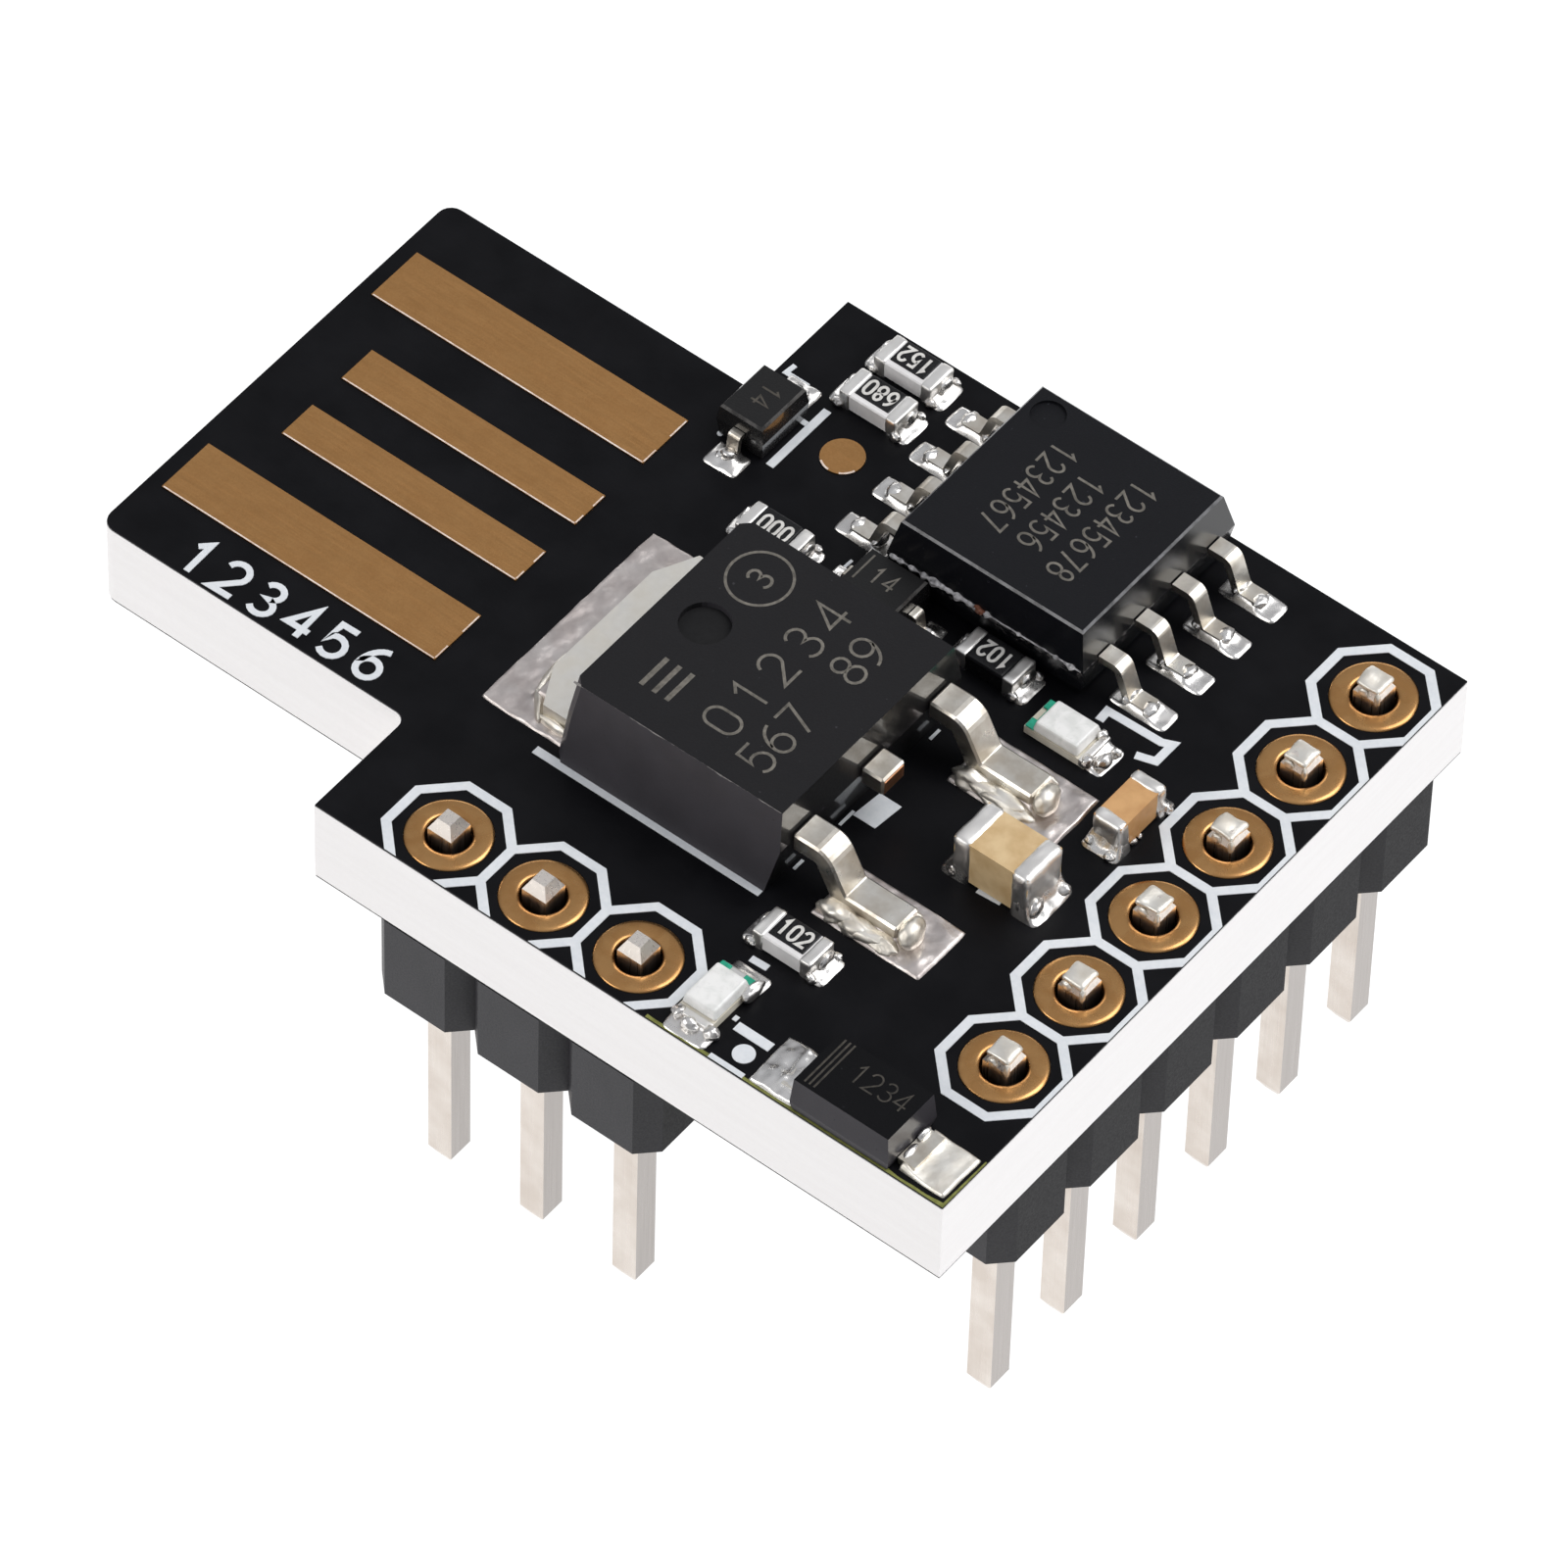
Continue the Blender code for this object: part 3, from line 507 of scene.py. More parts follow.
def add_strip(name, sections, key):
    """Closed strip with flat faces through a row of four-cornered sections."""
    vertices = [corner for section in sections for corner in section]
    last = len(vertices) - 4
    faces = []
    for start in range(0, last, 4):
        for corner in range(4):
            first = start + corner
            after = start + (corner + 1) % 4
            faces.append((first, after, after + 4, first + 4))
    faces += [(3, 2, 1, 0), tuple(range(last, last + 4))]
    add_piece(name, vertices, faces, key, smooth=False)


def line_shapes(paths, width):
    """Polygons for lines of one width that join without overlap wherever their points meet."""
    neighbours = {}
    edges = []
    for path in paths:
        spots = [(round(x, 4), round(y, 4)) for x, y in path]
        for start, end in zip(spots, spots[1:]):
            if start != end and end not in neighbours.get(start, []):
                neighbours.setdefault(start, []).append(end)
                neighbours.setdefault(end, []).append(start)
                edges.append((start, end))
    left, right = {}, {}
    for spot, others in neighbours.items():
        turns = sorted((math.atan2(other[1] - spot[1], other[0] - spot[0]), other) for other in others)
        if len(turns) == 1:
            angle, other = turns[0]
            step = (-math.sin(angle) * width / 2, math.cos(angle) * width / 2)
            left[spot, other] = (spot[0] + step[0], spot[1] + step[1])
            right[spot, other] = (spot[0] - step[0], spot[1] - step[1])
            continue
        for index, (angle, other) in enumerate(turns):
            following, next_other = turns[(index + 1) % len(turns)]
            gap = (following - angle) % (2 * math.pi)
            reach = width / 2 / max(0.35, math.sin(gap / 2))
            corner = polar(spot, reach, angle + gap / 2)
            left[spot, other] = corner
            right[spot, next_other] = corner
    return [[a, right[a, b], left[b, a], b, right[b, a], left[a, b]] for a, b in edges]


def line(start, end, width):
    """Polygons of one straight line."""
    return line_shapes([[start, end]], width)


def ink_layer(name, polygons, height=SILK, key="silk", thickness=0.018, clip=True):
    """Flat printed shapes with a little thickness, cut off at the board's edges if they are clipped."""
    mesh = bmesh.new()
    shared = {}
    for polygon in polygons:
        corners = []
        for x, y in polygon:
            spot = (round(x, 4), round(y, 4))
            if spot not in shared:
                shared[spot] = mesh.verts.new((x * MM, y * MM, height * MM))
            if shared[spot] not in corners:
                corners.append(shared[spot])
        if len(corners) > 2 and mesh.faces.get(corners) is None:
            mesh.faces.new(corners)
    if clip:
        inset = 0.006
        for axis in (0, 1):
            for side, corner in ((-1, BOARD_LOW), (1, BOARD_HIGH)):
                place = [0, 0, 0]
                normal = [0, 0, 0]
                place[axis] = (corner[axis] - side * inset) * MM
                normal[axis] = side
                parts = mesh.verts[:] + mesh.edges[:] + mesh.faces[:]
                bmesh.ops.bisect_plane(mesh, geom=parts, plane_co=place, plane_no=normal, clear_outer=True)
    for face in mesh.faces:
        face.normal_update()
        if face.normal.z < 0:
            face.normal_flip()
    data = bpy.data.meshes.new(name)
    mesh.to_mesh(data)
    mesh.free()
    solid = add_object(name, data, key).modifiers.new("ink_thickness", "SOLIDIFY")
    solid.thickness = thickness * MM
    solid.offset = -1.0


def mark_layer(name, polygons, height, key="etch", thickness=0.006):
    """Thin marking on top of a part, which may reach past the board's edges."""
    ink_layer(name, polygons, height, key, thickness, clip=False)


def outside_distance(x, y, box):
    """Distance in plan from a point to a box (x_low, x_high, y_low, y_high)."""
    across = max(box[0] - x, 0, x - box[1])
    along = max(box[2] - y, 0, y - box[3])
    return math.hypot(across, along)


def solder_patch(
    name, box, thickness, key="solder", fillets=(), bumps=(), lumps=0.02, edge=0.12, corner=0.08, seed=0.0
):
    """Solder or tinning on a pad.

    Fillets are (box, height, reach): solder that climbs towards a part's foot. Bumps are
    (x, y, radius_x, radius_y, height).
    """
    x_low, x_high, y_low, y_high = box
    wide, deep = x_high - x_low, y_high - y_low
    cell = 0.035
    columns = max(6, round(wide / cell))
    rows = max(6, round(deep / cell))
    vertices = []
    base = TOP - 0.004
    for row in range(rows + 1):
        for column in range(columns + 1):
            u = 2 * column / columns - 1
            v = 2 * row / rows - 1
            pull = corner * abs(u) ** 5 * abs(v) ** 5
            x = (x_low + x_high) / 2 + wide / 2 * u * (1 - pull)
            y = (y_low + y_high) / 2 + deep / 2 * v * (1 - pull)
            border = min((1 - abs(u)) * wide / 2, (1 - abs(v)) * deep / 2)
            shoulder = math.sqrt(max(0.0, 1 - (1 - min(1.0, border / edge)) ** 2))
            height = thickness
            for foot, rise, reach in fillets:
                height += rise * math.exp(-outside_distance(x, y, foot) / reach)
            for bump_x, bump_y, radius_x, radius_y, rise in bumps:
                height += rise * math.exp(-(((x - bump_x) / radius_x) ** 2) - ((y - bump_y) / radius_y) ** 2)
            spot = Vector((x * 2.6 + seed, y * 2.6 - seed, seed * 1.7))
            height += lumps * noise.noise(spot) + lumps * 0.22 * noise.noise(spot * 2.4)
            wander = 0.02 * noise.noise(Vector((x * 1.9, y * 1.9, seed))) * (1 if border < edge else 0)
            vertices.append((x + wander, y + wander, base + max(0.004, height) * shoulder))
    faces = []
    stride = columns + 1
    for row in range(rows):
        for column in range(columns):
            first = row * stride + column
            faces.append((first, first + 1, first + stride + 1, first + stride))
    add_piece(name, vertices, faces, key)


def rounded_block(name, low, high, radius, key, cuts=9, lumps=0.0):
    """Block whose edges and corners are rounded to a radius; lumps make its faces uneven."""
    mesh = bmesh.new()
    bmesh.ops.create_cube(mesh, size=2.0)
    bmesh.ops.subdivide_edges(mesh, edges=mesh.edges[:], cuts=cuts, use_grid_fill=True)
    half = [(high[axis] - low[axis]) / 2 for axis in range(3)]
    mid = Vector([(high[axis] + low[axis]) / 2 for axis in range(3)])
    radius = min(radius, *half)
    for vertex in mesh.verts:
        spot = Vector([spread_out(vertex.co[axis]) * half[axis] for axis in range(3)])
        core = Vector([max(-half[axis] + radius, min(half[axis] - radius, spot[axis])) for axis in range(3)])
        outward = (spot - core).normalized()
        place = core + outward * radius + mid
        vertex.co = place + outward * lumps * noise.noise(place * 3.1)
    return add_shaped(name, mesh, key)


def spread_out(value):
    """Move grid lines from -1 to 1 closer to the two ends."""
    return math.sin(value * math.pi / 2)


def bead(name, place, radii, turn=0.0, key="solder", lumps=0.12, seed=0.0):
    """Lump of solder: an uneven ellipsoid about a place, turned in plan by an angle in degrees."""
    mesh = bmesh.new()
    bmesh.ops.create_icosphere(mesh, subdivisions=4, radius=1.0)
    cosine, sine = math.cos(math.radians(turn)), math.sin(math.radians(turn))
    for vertex in mesh.verts:
        spot = vertex.co * 1.2 + Vector((seed, seed * 0.7, -seed))
        reach = 1 + lumps * 1.6 * noise.noise(spot) + lumps * 0.5 * noise.noise(spot * 2.3)
        x, y, z = (vertex.co[axis] * radii[axis] * reach for axis in range(3))
        vertex.co = (place[0] + x * cosine - y * sine, place[1] + x * sine + y * cosine, place[2] + z)
    add_shaped(name, mesh, key)


def beads(name, rows, key="solder", lumps=0.12):
    """Numbered lumps of solder from rows of (place with its height above the board, radii, turn)."""
    for number, ((x, y, rise), radii, turn) in enumerate(rows, 1):
        bead(f"{name}_{number}", (x, y, TOP + rise), radii, turn, key, lumps, x * 1.9 + y + number)


def turned_ring(name, place, profile, key, steps=64):
    """Closed profile of (radius, height) turned round an upright axis."""
    vertices = []
    for step in range(steps):
        angle = 2 * math.pi * step / steps
        vertices += [(*polar(place, radius, angle), height) for radius, height in profile]
    count = len(profile)
    faces = []
    for step in range(steps):
        here = step * count
        there = (step + 1) % steps * count
        for index in range(count):
            after = (index + 1) % count
            faces.append((here + index, there + index, there + after, here + after))
    add_piece(name, vertices, faces, key)


# ---------------------------------------------------------------- digits

def arc(x, y, radius_x, radius_y, first, last, steps=14):
    """Points on an ellipse from one angle in degrees to another."""
    angles = [math.radians(first + (last - first) * step / steps) for step in range(steps + 1)]
    return [(x + radius_x * math.cos(angle), y + radius_y * math.sin(angle)) for angle in angles]


def flipped(paths):
    """The same strokes turned upside down in their cell."""
    return [[(0.6 - x, 1 - y) for x, y in path] for path in paths]


SIX = [arc(0.3, 0.3, 0.3, 0.3, 180, 540, 18), arc(0.56, 0.3, 0.56, 0.7, 180, 96, 8)]
STROKES = {
    "0": [arc(0.3, 0.7, 0.3, 0.3, 0, 180) + arc(0.3, 0.3, 0.3, 0.3, 180, 360) + [(0.6, 0.7)]],
    "1": [[(0.1, 0.78), (0.34, 1), (0.34, 0)]],
    "2": [arc(0.3, 0.7, 0.3, 0.3, 165, -35, 12) + [(0, 0), (0.62, 0)]],
    "3": [arc(0.3, 0.76, 0.26, 0.24, 155, -90, 12), arc(0.3, 0.26, 0.3, 0.26, 90, -150, 12)],
    "4": [[(0.46, 0), (0.46, 0.28), (0.46, 1), (0, 0.28), (0.46, 0.28), (0.66, 0.28)]],
    "5": [[(0.56, 1), (0.08, 1), (0.05, 0.5)] + arc(0.28, 0.32, 0.32, 0.32, 125, -140, 12)],
    "6": SIX,
    "7": [[(0, 1), (0.6, 1), (0.2, 0)]],
    "8": [arc(0.3, 0.765, 0.25, 0.235, -90, 270, 16), arc(0.3, 0.265, 0.3, 0.265, 90, 450, 16)],
    "9": flipped(SIX),
}


def number_shapes(text, place, height, stroke, turn, advance=0.86, narrow=1.0):
    """Polygons of a row of digits that starts at a place and runs at an angle in degrees."""
    cosine = math.cos(math.radians(turn))
    sine = math.sin(math.radians(turn))
    polygons = []
    for index, character in enumerate(text):
        paths = []
        for path in STROKES[character]:
            spread = [((x * narrow + index * advance) * height, y * height) for x, y in path]
            turned = [(place[0] + x * cosine - y * sine, place[1] + x * sine + y * cosine) for x, y in spread]
            paths.append(turned)
        polygons += line_shapes(paths, stroke)
    return polygons


def disc(place, radius, sides=28):
    """Points round a disc."""
    return [polar(place, radius, 2 * math.pi * side / sides) for side in range(sides)]


def octagon(place, flats):
    """Closed octagon about a place, with two sides along each axis."""
    radius = flats / 2 / math.cos(math.pi / 8)
    return [polar(place, radius, math.pi / 8 + math.pi / 4 * corner) for corner in range(9)]


# ---------------------------------------------------------------- board details

def make_rings():
    """Plated holes: a slightly domed ring on top, and the barrel below it."""
    hole = 0.50
    profile = [
        (hole, TOP - 1.20),
        (hole, TOP - 0.05),
        (hole + 0.006, TOP - 0.005),
        (hole + 0.025, TOP + 0.030),
        (hole + 0.060, TOP + 0.050),
        (hole + 0.110, TOP + 0.056),
        (0.76, TOP + 0.054),
        (0.86, TOP + 0.049),
        (0.91, TOP + 0.040),
        (0.945, TOP + 0.024),
        (0.960, TOP + 0.002),
        (0.965, TOP - 0.03),
        (hole + 0.02, TOP - 0.03),
        (hole + 0.02, TOP - 1.20),
    ]
    for node in named("pin_"):
        turned_ring(node.replace("pin", "plated_hole"), middle(node), profile, "ring")


def make_contact_highlights():
    """Painted highlight: pale lines along the front and right edges of the contacts and arcs at the front of
    the test pad.
    """
    inset, width = 0.022, 0.034
    for node in named("usb_contact"):
        low, high = span(node)
        front, side = low[1] + inset, high[0] - inset
        reach = high[1] - low[1]
        highlight_lines = line((low[0] + 0.03, front), (high[0] - 0.03, front), width)
        highlight_lines += line((side, low[1] + 0.05), (side, low[1] + 0.30 * reach), width)
        highlight_lines += line((side, low[1] + 0.62 * reach), (side, high[1] - 0.04), width)
        mark_layer(node + "_rim_highlight", highlight_lines, high[2] + 0.003, "rim_highlight")
    low, high = span("test_pad")
    radius = (high[0] - low[0]) / 2 - 0.02
    paths = [arc(*middle("test_pad"), radius, radius, *turn, 10) for turn in ((-128, -92), (-62, -20))]
    mark_layer("test_pad_rim_highlight", line_shapes(paths, 0.045), high[2] + 0.003, "rim_highlight")


def make_pin_tinning():
    """Uneven tin on the tops of the six-row pins, with runs down a corner and the front."""
    for number, node in enumerate(named("pin_six"), 1):
        x, y = middle(node)
        sway = 0.02 * math.sin(number * 2.3)
        low = (x - 0.30, y - 0.30, TOP + 0.46 + sway)
        high = (x + 0.30, y + 0.29, TOP + 0.62)
        rounded_block(f"tinning_cap_{number}", low, high, 0.085, "satin", 9, 0.05)
        beads(f"tinning_run_{number}", [
            ((x + 0.28, y - 0.28, 0.34 + sway), (0.07, 0.07, 0.20), 0),
            ((x - 0.10 + sway, y - 0.30, 0.36), (0.13, 0.05, 0.12), 0),
        ], "satin")


def make_pin_outlines():
    """Printed octagons round the pins; neighbours share a side."""
    for row, step_x, step_y in (("three", PITCH, 0), ("six", 0, PITCH)):
        x, y = middle(f"pin_{row}_row_1")
        count = len(named(f"pin_{row}_row"))
        paths = [octagon((x + step_x * index, y + step_y * index), PITCH) for index in range(count)]
        ink_layer(f"printed_outlines_{row}_row", line_shapes(paths, 0.22))


# Printed dashes that show beside the regulator: (x, first y, last y)
RIGHT_DASHES = ((4.71, -4.00, -3.69), (4.72, -2.47, -1.99), (4.76, 0.54, 0.87))

# Printed marks beside parts: piece, part, lines of (width, points from the part's middle) and
# discs of (point from the part's middle, radius, sides)
PRINTED_MARKS = (
    ("printed_marks_zener_tongue", "zener_tongue_body", (
        (0.20, (0.81, -0.77), (0.81, 1.23)),
        (0.14, (0.40, 0.65), (0.70, 0.65)),
        (0.12, (-0.52, 1.79), (-0.55, 1.51), (0.06, 1.51)),
    ), ((-0.57, -0.73, 0.07, 12),)),
    ("printed_mark_zener_middle", "zener_middle_body", ((0.07, (-1.35, 0.22), (-1.33, 0.66)),), ()),
    ("printed_marks_led_power", "led_power_base", (
        (0.24, (0.73, -0.24), (1.65, -0.24)),
        (0.15, (0.77, -1.19), (1.67, -1.19)),
        (0.14, (0.55, -0.10), (0.66, -0.10)),
    ), ((1.31, -0.72, 0.25, 28),)),
    ("printed_dash_resistor", "resistor_front", ((0.17, (-0.54, -0.72), (-0.10, -0.70)),), ()),
    ("printed_bracket_led_signal", "led_signal_base", (
        (0.20, (0.24, 0.80), (0.22, 1.12), (1.62, 1.16), (1.84, 1.26), (1.84, 0.68), (1.40, 0.54)),
    ), ()),
    ("printed_line_mcu", "resistor_beside_mcu", ((0.09, (0.15, 0.98), (1.45, 0.90)),), ()),
    ("printed_dash_capacitor", "capacitor_large_ceramic", ((0.16, (-0.29, -0.60), (0.30, -0.56)),), ()),
)


def make_printed_lines():
    """Part outlines, polarity marks and the number on the tongue."""
    low, high = span("regulator_body")
    lines = line((low[0] - 0.42, low[1] - 0.06), (high[0] - 0.24, low[1] - 0.06), 0.21)
    for x, y_start, y_end in RIGHT_DASHES:
        lines += line((x, y_start), (x, y_end), 0.07)
    ink_layer("printed_lines_regulator", lines)
    x, y, _ = span("regulator_lead_middle_stub")[0]
    patch = [(x - 0.06, y - 0.13), (x + 0.52, y - 0.13), (x + 0.60, y + 0.68), (x + 0.02, y + 0.68)]
    ink_layer("printed_patch_by_stub", [patch], TOP + 0.022)
    for name, part, strokes, dots in PRINTED_MARKS:
        x, y = middle(part)
        shapes = []
        for width, *points in strokes:
            shapes += line_shapes([[(x + across, y + along) for across, along in points]], width)
        shapes += [disc((x + across, y + along), radius, sides) for across, along, radius, sides in dots]
        ink_layer(name, shapes)
    low, high = span("usb_contact_4")
    digits = number_shapes("123456", (low[0] + 1.60, low[1] - 1.46), 0.88, 0.15, 1.45, advance=1.07)
    ink_layer("printed_number_tongue", digits)


def make_bare_edges():
    """Olive laminate along the front right edges, where the solder mask stops short."""
    x_low, x_high = 4.75, BOARD_HIGH[0] - 0.006
    y_low, side_end = BOARD_LOW[1] + 0.004, -7.5
    wavy = []
    steps = 60
    for step in range(steps + 1):
        x = x_low + (x_high - 0.06 - x_low) * step / steps
        wavy.append((x, y_low + 0.075 + 0.018 * math.sin(x * 3.1) + 0.010 * math.sin(x * 8.7)))
    shapes = [[(start[0], y_low), (end[0], y_low), end, start] for start, end in zip(wavy, wavy[1:])]
    side = [(x_high - 0.06, y_low), (x_high, y_low), (x_high, side_end), (x_high - 0.035, side_end)]
    ink_layer("bare_laminate_edge", shapes + [side + wavy[-1:]], TOP + 0.014, "olive", thickness=0.012)


# ---------------------------------------------------------------- solder

# Lumps of solder beside parts: piece, part, material and rows of (x side, x offset, y side, y offset,
# height above the board, radii, turn), where a side is 0 for the part's low one and 1 for its high one
SOLDER_LUMPS = (
    ("solder_tab_ridge", "regulator_tab", "satin", (
        (0, -0.06, 0, 0.95, 0.12, (0.11, 0.62, 0.17), 8),
        (0, 0.22, 0, 0.22, 0.12, (0.11, 0.46, 0.17), 40),
        (0, 0.85, 0, -0.06, 0.10, (0.50, 0.10, 0.16), -4),
    )),
    ("solder_capacitor_large_lump", "capacitor_large_ceramic", "solder", (
        (0, 0.02, 0, 0.02, 0.12, (0.14, 0.13, 0.19), 0),
        (1, 0.08, 0, 0.25, 0.22, (0.13, 0.24, 0.25), 12),
        (1, 0.16, 1, -0.10, 0.10, (0.17, 0.16, 0.13), 0),
        (1, -0.20, 0, 0.0, 0.22, (0.07, 0.07, 0.24), 0),
        (1, -0.02, 0, 0.02, 0.16, (0.08, 0.08, 0.22), 0),
    )),
    ("solder_capacitor_small_lump", "capacitor_small_ceramic", "solder", (
        (1, -0.18, 1, 0.02, 0.45, (0.19, 0.10, 0.24), 0),
        (1, 0.04, 0, 0.42, 0.07, (0.08, 0.09, 0.08), 0),
        (1, 0.05, 0, 0.62, 0.06, (0.06, 0.07, 0.07), 0),
        (1, 0.08, 1, 0.0, 0.13, (0.13, 0.12, 0.13), 0),
        (0, 0.04, 0, -0.16, 0.10, (0.11, 0.11, 0.12), 0),
        (1, -0.10, 0, -0.22, 0.08, (0.14, 0.12, 0.10), 0),
    )),
    ("solder_led_power_lump", "led_power_base", "solder", (
        (1, 0.08, 1, -0.24, 0.20, (0.13, 0.34, 0.20), -4),
        (0, 0.10, 0, 0.02, 0.13, (0.16, 0.17, 0.16), 0),
        (0, 0.47, 0, -0.08, 0.13, (0.22, 0.17, 0.16), 0),
        (1, 0.07, 0, 0.0, 0.14, (0.19, 0.17, 0.16), 0),
    )),
    ("solder_led_signal_lump", "led_signal_base", "solder", (
        (1, -0.12, 1, -0.10, 0.28, (0.11, 0.12, 0.16), 0),
        (1, -0.02, 0, 0.12, 0.14, (0.14, 0.15, 0.16), 0),
        (1, 0.26, 0, 0.34, 0.16, (0.15, 0.22, 0.17), -8),
        (1, 0.30, 1, -0.18, 0.12, (0.13, 0.11, 0.11), 0),
    )),
    ("solder_schottky_lump", "schottky_terminal_anode", "solder", (
        (0, 0.06, 1, -0.20, 0.24, (0.09, 0.22, 0.12), 0),
        (0, 0.10, 0, 0.30, 0.16, (0.10, 0.26, 0.10), 0),
    )),
)
LEAD_RIDGE = (
    (1, -1.42, 0, -0.14, 0.08, (0.46, 0.27, 0.26), 4),
    (1, -1.02, 0, -0.19, 0.05, (0.62, 0.25, 0.22), -4),
    (1, -0.62, 0, -0.17, 0.05, (0.66, 0.24, 0.21), 3),
    (1, -0.26, 0, -0.19, 0.05, (0.46, 0.22, 0.19), -3),
    (1, -0.40, 1, 0.10, 0.06, (0.42, 0.13, 0.14), 3),
)


def side_beads(name, node, rows, key, lumps=0.12):
    """Numbered lumps of solder, placed from the sides of a part."""
    ends = span(node)
    beads(name, [
        ((ends[x_side][0] + across, ends[y_side][1] + along, rise), radii, turn)
        for x_side, across, y_side, along, rise, radii, turn in rows
    ], key, lumps)


def make_solder_lumps():
    """Lumps beside the regulator's tab, the capacitors, the LEDs and the power diode."""
    for name, node, key, rows in SOLDER_LUMPS:
        side_beads(name, node, rows, key)


def make_mcu_solder():
    """Solder on the pads of the microcontroller."""
    mcu_x = middle("mcu_body")[0]
    for node in named("mcu_lead"):
        low, high = span(node)
        x, y = middle(node)
        number = int(node[-1])
        side = 1 if x > mcu_x else -1
        tip = high[0] if side > 0 else low[0]
        foot = (*sorted((tip, tip - side * 0.52)), low[1], high[1])
        x_low, x_high = sorted((tip - side * 0.98, tip + side * (0.52 if side > 0 else 0.44)))
        box = (x_low, x_high, y - 0.33, y + 0.33)
        name = f"solder_mcu_{number}"
        solder_patch(name, box, 0.05, fillets=[(foot, 0.13, 0.09)], lumps=0.03, seed=number * 1.37)
        sway = 0.05 * math.sin(number * 2.1)
        beads(f"solder_mcu_lump_{number}", [
            ((tip - side * 0.02, y + sway, 0.13), (0.17, 0.22, 0.12), 10 * sway),
            ((tip - side * (0.60 + sway), y - 0.04, 0.20), (0.14, 0.25, 0.13), 0),
        ])


def make_regulator_solder():
    """Solder on the pads of the regulator's leads and tab."""
    for node in ("regulator_lead_input", "regulator_lead_output"):
        low, high = span(node)
        foot = (high[0] - 1.45, high[0], low[1], high[1])
        box = (high[0] - 1.92, high[0] + 0.95, low[1] - 0.44, high[1] + 0.42)
        swells = [
            (high[0] + 0.62, low[1] - 0.12, 0.16, 0.30, 0.05),
            (high[0] + 0.52, high[1] + 0.16, 0.22, 0.14, 0.04),
        ]
        fillets = [(foot, 0.16, 0.07)]
        solder_patch("solder_" + node, box, 0.06, "pad", fillets, swells, 0.030, 0.06, 0.01, low[1])
        side_beads(node.replace("regulator", "solder_ridge"), node, LEAD_RIDGE, "satin", 0.20)
        place = (high[0] + 0.20, (low[1] + high[1]) / 2 - 0.10, TOP + 0.30)
        bead(node.replace("regulator", "solder_tip"), place, (0.26, 0.40, 0.30), 12, "satin", 0.08)
    low, high = span("regulator_tab")
    foot = (low[0] + 0.1, high[0], low[1] + 0.35, high[1] - 0.45)
    box = (low[0] - 0.92, low[0] + 1.6, low[1] - 0.35, high[1] + 0.2)
    solder_patch("solder_regulator_tab", box, 0.07, "pad", [(foot, 0.30, 0.10)], (), 0.035, 0.06, 0.01, 4.2)


def side_of(value, centre):
    """Which way a value lies from a centre: -1 or 1, or 0 where they are nearly the same."""
    return 0 if abs(value - centre) < 0.1 else math.copysign(1, value - centre)


def make_diode_solder():
    """Solder on the pads of the small diodes and of the power diode."""
    for name in ("zener_tongue", "zener_middle"):
        core = middle(name + "_body")
        for end in ("anode", "cathode"):
            node = f"{name}_lead_{end}"
            x, y = middle(node)
            away_x, away_y = side_of(x, core[0]), side_of(y, core[1])
            half_x = 0.44 if away_y else 0.26
            half_y = 0.44 if away_x else 0.34
            mid_x, mid_y = x + 0.18 * away_x, y + 0.18 * away_y
            box = (mid_x - half_x, mid_x + half_x, mid_y - half_y, mid_y + half_y)
            fillets = [(footprint(node), 0.08, 0.10)]
            solder_patch(f"solder_{name}_{end}", box, 0.06, fillets=fillets, lumps=0.05, seed=x + y)
            if name == "zener_tongue":
                beads(f"solder_{name}_lump_{end}", [
                    ((x + 0.12 * away_x, y + 0.12 * away_y, 0.14), (0.17, 0.17, 0.13), 0),
                    ((mid_x + 0.16 * away_y, mid_y - 0.16 * away_x, 0.07), (0.13, 0.12, 0.09), 30),
                ])
    low, high = span("schottky_terminal_cathode")
    foot = (low[0] - 0.05, high[0], low[1], high[1])
    box = (low[0] - 0.68, high[0] + 0.02, BOARD_LOW[1] + 0.05, high[1] + 0.13)
    fillets = [(foot, 0.14, 0.22)]
    solder_patch("solder_schottky_cathode", box, 0.10, "solder", fillets, (), 0.09, 0.06, 0.02, 3.3)
    low, high = span("schottky_terminal_anode")
    foot = (low[0], high[0] - 0.2, low[1], high[1])
    box = (high[0] - 0.36, BOARD_HIGH[0] - 0.12, BOARD_LOW[1] + 0.19, high[1] + 0.13)
    fillets = [(foot, 0.12, 0.22)]
    solder_patch("solder_schottky_anode", box, 0.08, "satin", fillets, (), 0.02, 0.06, 0.02, 5.1)


def end_solder(name, box, foot, climb, lumps, seed):
    """Solder that climbs the end of a chip part."""
    solder_patch(name, box, 0.05, fillets=[(foot, climb, 0.10)], lumps=lumps, seed=seed, corner=0.12)


